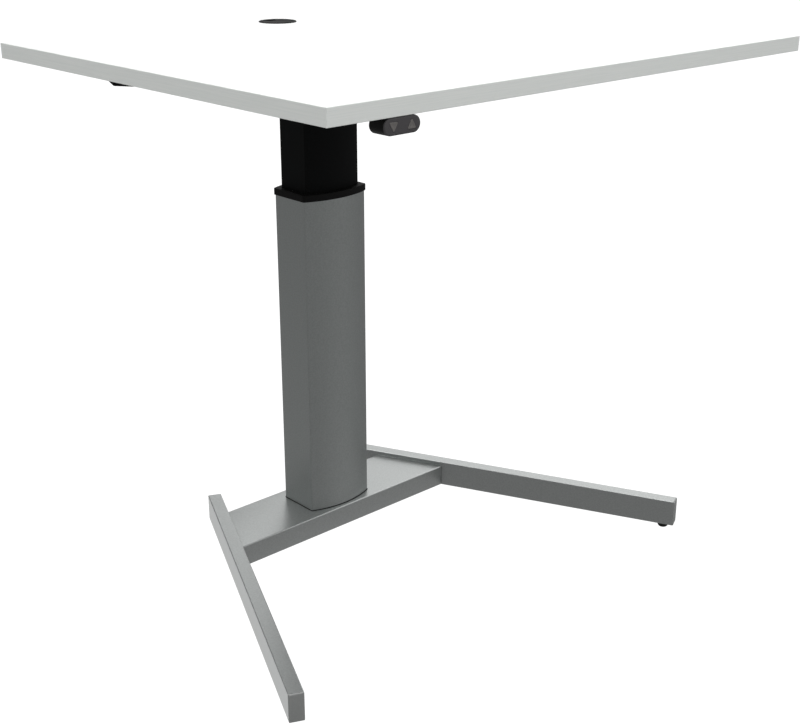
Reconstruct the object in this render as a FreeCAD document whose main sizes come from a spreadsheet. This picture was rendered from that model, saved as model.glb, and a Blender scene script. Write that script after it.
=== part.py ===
"""Sit-stand desk on one electric telescopic column, with a V-shaped foot.

Frame: millimetres, +Z up, the origin on the floor under the middle of the desk top.
-Y is the side where the user sits and +X is the user's right hand.
"""
import FreeCAD, Part
import os
import re

import Sketcher

Vector = FreeCAD.Vector
X_AXIS = Vector(1, 0, 0)
Y_AXIS = Vector(0, 1, 0)
Z_AXIS = Vector(0, 0, 1)

SIZES = {
    # desk top
    "desk_width": 1000,
    "desk_depth": 800,
    "desk_height": 942,
    "desk_thickness": 24,
    "laminate_thickness": 0.8,
    "edge_band_thickness": 1.5,
    "edge_band_rounding": 0.8,
    # cable grommet in the desk top
    "grommet_from_back": 60,
    "grommet_bore": 60,
    "grommet_bore_gap": 0.1,
    "grommet_flange_diameter": 67,
    "grommet_flange_thickness": 1.6,
    "grommet_flange_bevel": 1,
    "grommet_sleeve_length": 20,
    "grommet_sleeve_wall": 2,
    "grommet_seat_depth": 3.5,
    "grommet_ledge": 2,
    "grommet_ledge_thickness": 1.6,
    "grommet_cap_rise": 1,
    "grommet_cap_gap": 0.3,
    "cap_seat_gap": 0.1,
    "grommet_notch_width": 18,
    "grommet_notch_depth": 14,
    # column: two flat sides and two bowed faces
    "column_from_back": 169,
    "column_width": 140,
    "column_depth": 112,
    "column_face_radius": 168,
    "column_corner_radius": 2.5,
    "outer_tube_length": 600,
    "outer_tube_wall": 2.5,
    "tube_step": 9.6,
    "inner_tube_length": 618,
    "inner_tube_wall": 2.5,
    "gasket_thickness": 1,
    "gasket_margin": 1,
    "collar_height": 12.5,
    "collar_margin": 2.5,
    "collar_gap": 0.6,
    "collar_rounding": 1.5,
    "upper_glide_length": 45,
    "lower_glide_length": 40,
    "glide_lip": 3,
    "glide_gap": 0.3,
    "seat_gap": 0.05,
    # foot: a cross beam between two splayed legs
    "beam_length": 443.8,
    "beam_depth": 131,
    "beam_height": 40,
    "beam_wall": 3,
    "beam_bend_radius": 2.5,
    "beam_rise": 2,
    "leg_splay_angle": 25,
    "leg_length": 687,
    "leg_rear_reach": 144,
    "leg_width": 25,
    "leg_height": 50,
    "leg_wall": 2,
    "leg_corner_radius": 1.6,
    "end_cap_thickness": 3,
    "end_cap_plug": 10,
    "end_cap_rounding": 1.2,
    "end_cap_gap": 0.1,
    "leg_bolt_spacing": 70,
    "insert_diameter": 13,
    "insert_length": 8,
    "foot_height": 9,
    "foot_gap": 0.5,
    "foot_diameter": 20,
    "foot_rounding": 4.5,
    "foot_stud_diameter": 8,
    "foot_stud_length": 30,
    "foot_hole_gap": 0.5,
    "foot_from_end": 22,
    # plates and bolts between the beam and the column
    "stiffener_length": 150,
    "stiffener_depth": 96,
    "stiffener_thickness": 6,
    "column_plate_thickness": 8,
    "column_plate_gap": 0.2,
    "column_bolt_span_x": 90,
    "column_bolt_span_y": 50,
    "bolt_diameter": 8,
    "bolt_head_diameter": 13,
    "bolt_head_height": 5,
    "bolt_socket": 5,
    "bolt_socket_depth": 3,
    "bolt_hole_gap": 0.3,
    "thread_gap": 0.05,
    # lifting drive
    "push_tube_diameter": 30,
    "push_tube_wall": 3,
    "push_tube_length": 447,
    "nut_flange_diameter": 38,
    "nut_flange_thickness": 8,
    "nut_boss_diameter": 26,
    "nut_boss_height": 20,
    "nut_skirt": 26,
    "nut_skirt_gap": 0.1,
    "spindle_diameter": 14,
    "spindle_length": 508,
    "spindle_gap": 0.05,
    "spindle_collar_diameter": 22,
    "spindle_collar_height": 4,
    "spindle_journal_diameter": 10,
    "spindle_journal_length": 28,
    "spindle_passage": 25,
    "thrust_bearing_diameter": 28,
    "thrust_bearing_height": 10,
    "thrust_race_height": 3,
    "thrust_cage_inset": 1.5,
    "bearing_plate_thickness": 8,
    "bearing_plate_bore": 20,
    "coupling_diameter": 16,
    "coupling_length": 23,
    "coupling_offset": 1,
    "coupling_web": 6,
    "gearbox_diameter": 52,
    "gearbox_length": 48,
    "gearbox_recess": 17,
    "gearbox_bevel": 2,
    "motor_diameter": 48,
    "motor_length": 64,
    "motor_neck_diameter": 14,
    "motor_neck_height": 3,
    "motor_bevel": 2,
    "motor_gap": 8,
    "motor_screw_diameter": 5,
    "motor_screw_length": 18,
    "motor_screw_head_diameter": 8,
    "motor_screw_head_height": 4,
    "motor_screw_circle": 40,
    "motor_screw_hole_depth": 12,
    # head plate and the arms that carry the desk top
    "head_plate_width": 260,
    "head_plate_front": 121,
    "head_plate_back": 72,
    "head_plate_thickness": 6,
    "head_plate_rounding": 10,
    "arm_width": 50,
    "arm_wall": 3,
    "arm_root_depth": 50,
    "arm_tip_depth": 24,
    "arm_tip_bevel": 8,
    "arm_lip_depth": 15,
    "arm_taper_length": 200,
    "arm_clearance": 9,
    "side_arm_setback": 75,
    "front_arm_setback": 131,
    "arm_bolt_inset": 24,
    "arm_bolt_span": 28,
    "spacer_diameter": 30,
    "spacer_tip_inset": 23,
    "spacer_span": 200,
    "corner_screw_inset": 20,
    "screw_diameter": 5,
    "screw_head_diameter": 10,
    "screw_head_height": 3,
    "screw_length": 24,
    "screw_gap": 0.1,
    "pilot_slack": 0.5,
    # control box under the desk top
    "control_from_arm": 35,
    "control_y": -130,
    "control_length": 190,
    "control_depth": 80,
    "control_height": 32,
    "control_wall": 2,
    "control_cover_thickness": 2,
    "control_lug": 12,
    "control_screw_span": 60,
    "small_screw_diameter": 4,
    "small_screw_head_diameter": 7.5,
    "small_screw_head_height": 2.4,
    "small_screw_length": 14,
    "standoff_diameter": 7,
    "standoff_height": 4,
    "standoff_inset": 14,
    "circuit_thickness": 1.6,
    "circuit_margin": 6,
    "transformer_length": 42,
    "transformer_depth": 34,
    "transformer_height": 20,
    "capacitor_diameter": 12,
    "capacitor_height": 18,
    "capacitor_span": 16,
    "heat_sink_length": 30,
    "heat_sink_depth": 6,
    "heat_sink_height": 16,
    "inlet_width": 27,
    "inlet_height": 20,
    "inlet_depth": 16,
    "inlet_wall": 2,
    "inlet_floor": 3,
    "inlet_flange_margin": 2.5,
    "inlet_flange_thickness": 2,
    "inlet_pin_width": 4,
    "inlet_pin_thickness": 2,
    "inlet_pin_length": 7,
    "inlet_pin_span": 7,
    "inlet_pin_drop": 2.5,
    "inlet_gap": 0.1,
    "gland_diameter": 10,
    "gland_bore": 5,
    "gland_lip": 2,
    "gland_span": 34,
    # handset with its two keys
    "handset_from_left": 120,
    "handset_width": 60,
    "handset_height": 22,
    "handset_depth": 29.5,
    "handset_setback": 0.6,
    "handset_pad_diameter": 10,
    "handset_pad_height": 0.7,
    "handset_wall": 2,
    "handset_face_thickness": 2.5,
    "handset_face_rounding": 1.5,
    "handset_screw_span": 24,
    "handset_screw_back": 18,
    "handset_access_diameter": 8.5,
    "key_span": 30,
    "key_width": 15,
    "key_height": 13,
    "key_shift": 0.9,
    "key_gap": 0.3,
    "key_rise": 0.4,
    "key_flange_width": 16.4,
    "key_flange_height": 15.4,
    "key_flange_thickness": 1,
    "key_stop_gap": 0.1,
    "key_travel": 0.8,
    "switch_size": 6,
    "switch_height": 3,
    "handset_circuit_gap": 0.05,
}

# Heights and places that follow from the sizes.
COLUMN_Y = "(desk_depth / 2 - column_from_back)"
LEG_MIDDLE = "(foot_height + leg_height / 2)"
BEAM_BOTTOM = "(foot_height + beam_rise)"
BEAM_TOP = "(foot_height + beam_rise + beam_height)"
COLUMN_PLATE_TOP = f"({BEAM_TOP} + column_plate_thickness)"
COLUMN_TOP = f"({BEAM_TOP} + gasket_thickness + outer_tube_length)"
UNDERSIDE = "(desk_height - desk_thickness)"
HEAD = f"({UNDERSIDE} - head_plate_thickness)"
GEARBOX_TOP = f"({HEAD} - motor_gap - motor_neck_height - motor_length)"
GEARBOX_BOTTOM = f"({GEARBOX_TOP} - gearbox_length)"
BEARING_PLATE_BOTTOM = f"({GEARBOX_BOTTOM} - bearing_plate_thickness)"
SPINDLE_SHOULDER = f"({BEARING_PLATE_BOTTOM} - thrust_bearing_height)"
SPLAY = "(leg_splay_angle * 1 deg)"
GROMMET_Y = "(desk_depth / 2 - grommet_from_back)"
SIDE_ARM_START = "(column_width / 2 + collar_margin + arm_clearance)"
FRONT_ARM_START = "(column_depth / 2 + collar_margin + arm_clearance)"
SIDE_ARM_REACH = "(desk_width / 2 - side_arm_setback)"
FRONT_ARM_REACH = "(desk_depth - column_from_back - front_arm_setback)"
CONTROL_X = "(arm_width / 2 + control_from_arm + control_length / 2)"
HANDSET_X = "(handset_from_left - desk_width / 2)"
HANDSET_Z = f"({UNDERSIDE} - handset_pad_height - handset_height / 2)"
CONTROL_FLOOR = f"({UNDERSIDE} - control_cover_thickness - control_height)"

document = FreeCAD.newDocument("SitStandDesk")


def fill_sheet():
    """Write every driving size into the document's spreadsheet, under its own alias."""
    sheet = document.addObject("Spreadsheet::Sheet", "Sizes")
    for row, (alias, size) in enumerate(SIZES.items(), start=1):
        sheet.set(f"A{row}", alias)
        sheet.set(f"B{row}", str(size))
        sheet.setAlias(f"B{row}", alias)
    document.recompute()
    return sheet


SHEET = fill_sheet()


def formula(text):
    """Turn the sizes named in a text into references to the spreadsheet."""
    return re.sub(r"[a-z_]+", lambda word: f"Sizes.{word[0]}" if word[0] in SIZES else word[0], text)


def amount(text):
    """Work a formula out as a number."""
    return float(SHEET.evalExpression(formula(text)))


def bind(thing, target, text):
    """Tie one property of an object to a formula."""
    thing.setExpression(target, formula(text))


def place(thing, x="0", y="0", z="0", turn=None):
    """Put an object at a place given by formulas, turned about its own origin first."""
    if turn is not None:
        thing.Placement = FreeCAD.Placement(Vector(), turn)
    for axis, text in zip("xyz", (x, y, z)):
        bind(thing, f"Placement.Base.{axis}", text)
    return thing


# ---------------------------------------------------------------- sketches

def sketch(body, role="XY_Plane", level="0"):
    """A sketch on one of the body's own planes, moved along its normal by level."""
    plane = next(part for part in body.Origin.OriginFeatures if part.Role == role)
    drawing = body.newObject("Sketcher::SketchObject", "Sketch")
    drawing.AttachmentSupport = [(plane, "")]
    drawing.MapMode = "FlatFace"
    bind(drawing, "AttachmentOffset.Base.z", level)
    return drawing


def dimension(drawing, text, kind, *targets):
    """Add one dimension to a sketch and tie it to a formula."""
    number = drawing.addConstraint(Sketcher.Constraint(kind, *targets, amount(text)))
    bind(drawing, f"Constraints[{number}]", text)


def pin_point(drawing, curve, end, x, y):
    """Fix one point of a curve by its distances from the sketch's origin."""
    dimension(drawing, x, "DistanceX", -1, 1, curve, end)
    dimension(drawing, y, "DistanceY", -1, 1, curve, end)


def join(drawing, curve, end, other, other_end):
    """Make two curve ends meet."""
    drawing.addConstraint(Sketcher.Constraint("Coincident", curve, end, other, other_end))


def polygon(drawing, corners):
    """A closed outline of straight runs through corners given as pairs of formulas."""
    first = drawing.GeometryCount
    points = [Vector(amount(x), amount(y), 0) for x, y in corners]
    for start, finish in zip(points, points[1:] + points[:1]):
        drawing.addGeometry(Part.LineSegment(start, finish))
    for index, (x, y) in enumerate(corners):
        join(drawing, first + index, 2, first + (index + 1) % len(corners), 1)
        pin_point(drawing, first + index, 1, x, y)


def rectangle(drawing, width, height, x="0", y="0"):
    """A rectangle about a centre."""
    left, right = f"{x} - ({width}) / 2", f"{x} + ({width}) / 2"
    low, high = f"{y} - ({height}) / 2", f"{y} + ({height}) / 2"
    polygon(drawing, [(left, low), (right, low), (right, high), (left, high)])


def circle(drawing, diameter, x="0", y="0"):
    """A circle about a centre."""
    centre = Vector(amount(x), amount(y), 0)
    number = drawing.addGeometry(Part.Circle(centre, Z_AXIS, amount(diameter) / 2))
    pin_point(drawing, number, 3, x, y)
    dimension(drawing, diameter, "Diameter", number)


def lens(drawing, inset):
    """The column's section moved inwards by inset: two flat sides and two bowed faces."""
    half = f"(column_width / 2 - ({inset}))"
    radius = f"(column_face_radius - ({inset}))"
    centre = "(column_depth / 2 - column_face_radius)"
    corner = f"({centre} + sqrt({radius} ^ 2 - {half} ^ 2))"
    x, y = amount(half), amount(corner)
    bow = Vector(0, amount(f"column_depth / 2 - ({inset})"), 0)
    first = drawing.GeometryCount
    drawing.addGeometry(Part.LineSegment(Vector(x, -y, 0), Vector(x, y, 0)))
    drawing.addGeometry(Part.Arc(Vector(x, y, 0), bow, Vector(-x, y, 0)))
    drawing.addGeometry(Part.LineSegment(Vector(-x, y, 0), Vector(-x, -y, 0)))
    drawing.addGeometry(Part.Arc(Vector(-x, -y, 0), -bow, Vector(x, -y, 0)))
    for index in range(4):
        join(drawing, first + index, 2, first + (index + 1) % 4, 1)
    for index, sign in ((0, 1), (2, -1)):
        pin_point(drawing, first + index, 1, f"{sign} * {half}", f"{-sign} * {corner}")
        pin_point(drawing, first + index, 2, f"{sign} * {half}", f"{sign} * {corner}")
        dimension(drawing, radius, "Radius", first + index + 1)


def slot(drawing, width, height):
    """A flat-sided outline with half-round ends."""
    reach = f"(({width}) - ({height})) / 2"
    x, radius = amount(reach), amount(height) / 2
    first = drawing.GeometryCount
    drawing.addGeometry(Part.LineSegment(Vector(-x, radius, 0), Vector(x, radius, 0)))
    drawing.addGeometry(Part.Arc(Vector(x, -radius, 0), Vector(x + radius, 0, 0), Vector(x, radius, 0)))
    drawing.addGeometry(Part.LineSegment(Vector(x, -radius, 0), Vector(-x, -radius, 0)))
    drawing.addGeometry(Part.Arc(Vector(-x, radius, 0), Vector(-x - radius, 0, 0), Vector(-x, -radius, 0)))
    for line, line_end, arc, arc_end in ((0, 2, 1, 2), (2, 1, 1, 1), (2, 2, 3, 2), (0, 1, 3, 1)):
        drawing.addConstraint(Sketcher.Constraint("Tangent", first + line, line_end, first + arc, arc_end))
    drawing.addConstraint(Sketcher.Constraint("Equal", first + 1, first + 3))
    pin_point(drawing, first + 1, 3, reach, "0")
    pin_point(drawing, first + 3, 3, f"-1 * {reach}", "0")
    dimension(drawing, f"({height}) / 2", "Radius", first + 1)


def triangle(drawing, x, up, gap="0"):
    """A key's outline, a little above or below the middle as it points up or down, moved out by gap."""
    slope = "sqrt((key_width / 2) ^ 2 + key_height ^ 2)"
    rise = f"(key_height / 2 + ({gap}) * {slope} / (key_width / 2))"
    drop = f"(key_height / 2 + ({gap}))"
    half = f"(({rise} + {drop}) * key_width / 2 / key_height)"
    sign = "1" if up else "-1"
    foot_y, tip_y = f"{sign} * (key_shift - {drop})", f"{sign} * (key_shift + {rise})"
    polygon(drawing, [(f"{x} - {half}", foot_y), (f"{x} + {half}", foot_y), (x, tip_y)])


# ---------------------------------------------------------------- features

def new_body(label):
    """An empty body."""
    return document.addObject("PartDesign::Body", label)


def pad(body, drawing, length):
    """Raise a sketch along its normal."""
    feature = body.newObject("PartDesign::Pad", "Pad")
    feature.Profile = drawing
    bind(feature, "Length", length)
    drawing.Visibility = False
    return feature


def pocket(body, drawing, depth=None, along_normal=False):
    """Cut a sketch out, against its normal unless told otherwise, and through all with no depth."""
    document.recompute()
    before = body.Shape.Volume
    feature = body.newObject("PartDesign::Pocket", "Pocket")
    feature.Profile = drawing
    feature.Reversed = along_normal
    if depth is None:
        feature.Type = "ThroughAll"
    else:
        bind(feature, "Length", depth)
    document.recompute()
    if not feature.Shape.Volume < before:
        raise RuntimeError(f"{body.Label}: a pocket cuts nothing")
    return feature


def bore(body, diameter, spots, role="XY_Plane", level="0", depth=None, along_normal=False):
    """Cut round holes of one size at several spots."""
    drawing = sketch(body, role, level)
    for x, y in spots:
        circle(drawing, diameter, x, y)
    return pocket(body, drawing, depth, along_normal)


def round_edges(body, radius, chosen):
    """Round the edges of the body's last feature that a test picks."""
    document.recompute()
    base = body.Tip
    names = [f"Edge{number}" for number, edge in enumerate(base.Shape.Edges, start=1) if chosen(edge)]
    feature = body.newObject("PartDesign::Fillet", "Fillet")
    feature.Base = (base, names)
    bind(feature, "Radius", radius)
    return feature


def is_level(edge, axis, place_text):
    """Whether an edge lies in the plane where one coordinate has a given value."""
    low = (edge.BoundBox.XMin, edge.BoundBox.YMin, edge.BoundBox.ZMin)[axis]
    high = (edge.BoundBox.XMax, edge.BoundBox.YMax, edge.BoundBox.ZMax)[axis]
    target = amount(place_text)
    return abs(low - target) < 0.01 and abs(high - target) < 0.01


def is_upright(edge):
    """Whether an edge is a straight run along Z."""
    return edge.BoundBox.XLength < 0.01 and edge.BoundBox.YLength < 0.01


def turned(label, outline):
    """A turned body: pairs of radius and height, spun about Z."""
    body = new_body(label)
    drawing = sketch(body, "XZ_Plane")
    polygon(drawing, outline)
    feature = body.newObject("PartDesign::Revolution", "Revolution")
    feature.Profile = drawing
    feature.ReferenceAxis = (drawing, ["V_Axis"])
    feature.Angle = 360
    return body


def cylinder(label, diameter, height):
    """A plain cylinder along Z."""
    shape = document.addObject("Part::Cylinder", label)
    bind(shape, "Radius", f"({diameter}) / 2")
    bind(shape, "Height", height)
    return shape


def block(label, width, depth, height, x, y, z):
    """A plain block about a centre in X and Y, standing at height z."""
    shape = document.addObject("Part::Box", label)
    bind(shape, "Length", width)
    bind(shape, "Width", depth)
    bind(shape, "Height", height)
    return place(shape, f"{x} - ({width}) / 2", f"{y} - ({depth}) / 2", z)


def copy_at(master, x="0", y="0", z="0", turn=None):
    """A linked copy of a master piece at a place of its own."""
    link = document.addObject("App::Link", f"{master.Label}_copy")
    link.LinkedObject = master
    return place(link, x, y, z, turn)


def group(label, pieces):
    """Separate solids that share one sub-part."""
    bundle = document.addObject("Part::Compound", label)
    bundle.Links = pieces
    return bundle


def fused(label, pieces):
    """One solid made of several."""
    whole = document.addObject("Part::MultiFuse", label)
    whole.Shapes = pieces
    return whole


def cut(label, base, tool):
    """A piece with a tool's shape taken out of it."""
    rest = document.addObject("Part::Cut", label)
    rest.Base = base
    rest.Tool = tool
    return rest


def screw(label, diameter, length, head_diameter, head_height):
    """A fastener along Z: the head below its origin, the shank above it."""
    shank, head, low = f"({diameter}) / 2", f"({head_diameter}) / 2", f"-1 * ({head_height})"
    return turned(label, [("0", low), (head, low), (head, "0"), (shank, "0"), (shank, length),
                          ("0", length)])


def bolt(label, length):
    """A machine bolt with a hexagon socket in its head."""
    body = screw(label, "bolt_diameter", length, "bolt_head_diameter", "bolt_head_height")
    corner = "bolt_socket / 2 / cos(30 deg)"
    drawing = sketch(body, level="-1 * bolt_head_height")
    polygon(drawing, [(f"{corner} * cos({angle} deg)", f"{corner} * sin({angle} deg)")
                      for angle in range(0, 360, 60)])
    pocket(body, drawing, "bolt_socket_depth", along_normal=True)
    return body


# ---------------------------------------------------------------- shared layouts

def beam_half(v, inset="0"):
    """Half of the beam's length at a distance v behind the column's axis, along the legs' inner faces."""
    return f"(beam_length / 2 - ({v}) * tan({SPLAY}) - ({inset}) / cos({SPLAY}))"


def leg_point(side, reach):
    """X and Y of a point on a leg's centre line, measured along the leg from its rear end."""
    ahead = f"(({reach}) - leg_rear_reach)"
    x = f"{side} * (beam_length / 2 + leg_width / 2 / cos({SPLAY}) + {ahead} * sin({SPLAY}))"
    y = f"{COLUMN_Y} - {ahead} * cos({SPLAY})"
    return x, y


def into_leg(thing, side):
    """Put an object drawn in a leg's own frame into the desk: its Z runs along the leg to the front."""
    tilt = FreeCAD.Rotation(Z_AXIS, side * amount("leg_splay_angle"))
    forward, across = tilt.multVec(-Y_AXIS), tilt.multVec(X_AXIS)
    x, y = leg_point(side, "0")
    return place(thing, x, y, LEG_MIDDLE, FreeCAD.Rotation(across, Z_AXIS, forward, "ZXY"))


COLUMN_BOLT_SPOTS = [(f"{sx} * column_bolt_span_x / 2", f"{sy} * column_bolt_span_y / 2")
                     for sx in (-1, 1) for sy in (-1, 1)]
ARM_BOLT_SPOTS = [(f"{side} * ({SIDE_ARM_START} + arm_bolt_inset)", f"{sign} * arm_bolt_span / 2")
                  for side in (-1, 1) for sign in (-1, 1)]
ARM_BOLT_SPOTS += [(f"{sign} * arm_bolt_span / 2", f"-1 * ({FRONT_ARM_START} + arm_bolt_inset)")
                   for sign in (-1, 1)]
SPACER_REACHES = {reach: [f"{reach} - spacer_tip_inset", f"{reach} - spacer_tip_inset - spacer_span"]
                  for reach in (SIDE_ARM_REACH, FRONT_ARM_REACH)}
SPACER_SPOTS = [(f"{side} * ({spot})", "0") for side in (-1, 1) for spot in SPACER_REACHES[SIDE_ARM_REACH]]
SPACER_SPOTS += [("0", f"-1 * ({spot})") for spot in SPACER_REACHES[FRONT_ARM_REACH]]
CORNER_SPOTS = [(f"{side} * (head_plate_width / 2 - corner_screw_inset)", y) for side in (-1, 1)
                for y in ("head_plate_back - corner_screw_inset", "corner_screw_inset - head_plate_front")]
CONTROL_SCREW_SPOTS = [(f"{CONTROL_X} + {sx} * (control_length + control_lug) / 2",
                        f"control_y + {sy} * control_screw_span / 2") for sx in (-1, 1) for sy in (-1, 1)]
HANDSET_SCREW_SPOTS = [(f"{HANDSET_X} + {side} * handset_screw_span / 2",
                        "handset_screw_back - desk_depth / 2") for side in (-1, 1)]
GLAND_SPOTS = [f"control_y + {sign} * gland_span / 2" for sign in (-1, 1)]


# ---------------------------------------------------------------- foot

def make_beam():
    """The cross beam: a channel open below, its ends cut along the legs, with folded end walls."""
    blank = new_body("base_beam_blank")
    for level, inset in ((BEAM_BOTTOM, "0"), (BEAM_BOTTOM, "beam_wall")):
        back = f"(beam_depth / 2 - {inset})"
        front = f"(-1 * {back})"
        drawing = sketch(blank, level=level)
        polygon(drawing, [(f"-1 * {beam_half(front, inset)}", front), (beam_half(front, inset), front),
                          (beam_half(back, inset), back), (f"-1 * {beam_half(back, inset)}", back)])
        if inset == "0":
            pad(blank, drawing, "beam_height")
            edges = ("beam_depth / 2", "-1 * beam_depth / 2")
            round_edges(blank, "beam_bend_radius", lambda edge: is_level(edge, 2, BEAM_TOP)
                        and any(is_level(edge, 1, place_text) for place_text in edges))
        else:
            pocket(blank, drawing, "beam_height - beam_wall", along_normal=True)
    bore(blank, "bolt_diameter + bolt_hole_gap", COLUMN_BOLT_SPOTS, level=BEAM_TOP)
    bore(blank, "spindle_passage", [("0", "0")], level=BEAM_TOP)
    place(blank, y=COLUMN_Y)
    drill = cylinder("leg_bolt_drill", "bolt_diameter + bolt_hole_gap", "3 * beam_wall")
    drills = [into_leg(group("leg_bolt_drills", leg_bolt_copies(drill, side, "2 * beam_wall")), side)
              for side in (-1, 1)]
    return cut("base_beam", blank, group("beam_end_drills", drills))


def leg_bolt_copies(master, side, back_off="0"):
    """Copies on the two leg bolt axes of one side, in the leg's frame, started at the beam's inner face."""
    x = f"{-side} * (leg_width / 2 + beam_wall + ({back_off}))"
    y = f"{BEAM_BOTTOM} + beam_height / 2 - {LEG_MIDDLE}"
    turn = FreeCAD.Rotation(Y_AXIS, 90 * side)
    return [copy_at(master, x, y, leg_bolt_reach(sign), turn) for sign in (-1, 1)]


def leg_bolt_reach(sign):
    """How far along the leg a leg bolt lies."""
    return f"(leg_rear_reach - leg_width / 2 * tan({SPLAY}) + {sign} * leg_bolt_spacing / 2)"


def make_leg(label, side):
    """A rectangular steel tube with holes for two feet and two bolts."""
    body = new_body(label)
    drawing = sketch(body, level="end_cap_thickness")
    rectangle(drawing, "leg_width", "leg_height")
    rectangle(drawing, "leg_width - 2 * leg_wall", "leg_height - 2 * leg_wall")
    pad(body, drawing, "leg_length - 2 * end_cap_thickness")
    outer = ("leg_width / 2", "-1 * leg_width / 2")
    round_edges(body, "leg_corner_radius", lambda edge: is_upright(edge)
                and any(is_level(edge, 0, place_text) for place_text in outer))
    bore(body, "foot_stud_diameter + 2 * foot_hole_gap",
         [("0", "foot_from_end"), ("0", "leg_length - foot_from_end")], role="XZ_Plane", along_normal=True)
    height = f"{BEAM_BOTTOM} + beam_height / 2 - {LEG_MIDDLE}"
    bore(body, "bolt_diameter + bolt_hole_gap", [(height, leg_bolt_reach(sign)) for sign in (-1, 1)],
         role="YZ_Plane", along_normal=side < 0)
    return into_leg(body, side)


def make_end_cap(label, side, front):
    """A pressed-in cap that closes one end of a leg, its outer rim rounded."""
    body = new_body(label)
    plate_level, outer_level = ("leg_length - end_cap_thickness", "leg_length") if front else ("0", "0")
    plug_level = "leg_length - end_cap_thickness - end_cap_plug" if front else "end_cap_thickness"
    drawing = sketch(body, level=plate_level)
    rectangle(drawing, "leg_width", "leg_height")
    pad(body, drawing, "end_cap_thickness")
    round_edges(body, "leg_corner_radius", is_upright)
    round_edges(body, "end_cap_rounding", lambda edge: is_level(edge, 2, outer_level))
    drawing = sketch(body, level=plug_level)
    rectangle(drawing, "leg_width - 2 * leg_wall - 2 * end_cap_gap",
              "leg_height - 2 * leg_wall - 2 * end_cap_gap")
    pad(body, drawing, "end_cap_plug")
    return into_leg(body, side)


def make_leg_inserts():
    """Threaded inserts welded inside the legs, for the feet and for the beam's bolts."""
    def ring(label, hole):
        inner, outer = f"({hole}) / 2 + thread_gap", "insert_diameter / 2"
        return turned(label, [(inner, "0"), (outer, "0"), (outer, "insert_length"),
                              (inner, "insert_length")])

    foot_ring = ring("foot_insert_master", "foot_stud_diameter")
    bolt_ring = ring("bolt_insert_master", "bolt_diameter")
    sides = []
    for side in (-1, 1):
        upward = FreeCAD.Rotation(X_AXIS, -90)
        pieces = [copy_at(foot_ring, "0", "leg_wall - leg_height / 2", reach, upward)
                  for reach in ("foot_from_end", "leg_length - foot_from_end")]
        pieces += leg_bolt_copies(bolt_ring, side, "-1 * (beam_wall + leg_wall)")
        sides.append(into_leg(group("leg_insert_side", pieces), side))
    return group("leg_inserts", sides)


def make_leg_bolts():
    """Bolts from inside the beam into the legs."""
    master = bolt("leg_bolt_master", "beam_wall + leg_wall + insert_length")
    sides = [into_leg(group("leg_bolt_side", leg_bolt_copies(master, side)), side) for side in (-1, 1)]
    return group("leg_bolts", sides)


def make_foot(label, side, front):
    """A levelling foot: a domed pad on a threaded stud."""
    pad_top = "(foot_height - foot_gap)"
    body = turned(label, [("0", "0"), ("foot_diameter / 2", "0"), ("foot_diameter / 2", pad_top),
                          ("foot_stud_diameter / 2", pad_top),
                          ("foot_stud_diameter / 2", f"{pad_top} + foot_stud_length"),
                          ("0", f"{pad_top} + foot_stud_length")])
    round_edges(body, "foot_rounding", lambda edge: is_level(edge, 2, "0")
                and edge.BoundBox.XLength > amount("foot_stud_diameter"))
    return place(body, *leg_point(side, "leg_length - foot_from_end" if front else "foot_from_end"))


def make_foot_frame():
    """The whole standing frame below the column."""
    parts = [make_beam(), make_leg("left_leg", -1), make_leg("right_leg", 1)]
    for front, front_word in ((True, "front"), (False, "rear")):
        for side, side_word in ((-1, "left"), (1, "right")):
            parts.append(make_end_cap(f"{front_word}_{side_word}_end_cap", side, front))
            parts.append(make_foot(f"{front_word}_{side_word}_foot", side, front))
    parts += [make_leg_inserts(), make_leg_bolts()]
    stiffener = new_body("base_stiffener_plate")
    drawing = sketch(stiffener)
    rectangle(drawing, "stiffener_length", "stiffener_depth")
    circle(drawing, "spindle_passage")
    for spot in COLUMN_BOLT_SPOTS:
        circle(drawing, "bolt_diameter + bolt_hole_gap", *spot)
    pad(stiffener, drawing, "stiffener_thickness")
    parts.append(place(stiffener, y=COLUMN_Y, z=f"{BEAM_TOP} - beam_wall - stiffener_thickness"))
    return parts


# ---------------------------------------------------------------- column

def ring_body(label, outer_inset, inner_inset, length, level):
    """A ring or tube of the column's section."""
    body = new_body(label)
    drawing = sketch(body)
    lens(drawing, outer_inset)
    lens(drawing, inner_inset)
    pad(body, drawing, length)
    return place(body, y=COLUMN_Y, z=level)


def round_corners(body, inset, radius):
    """Round the four upright corners that lie on the section's outside."""
    side = f"column_width / 2 - ({inset})"
    round_edges(body, radius, lambda edge: is_upright(edge)
                and (is_level(edge, 0, side) or is_level(edge, 0, f"-1 * ({side})")))


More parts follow.
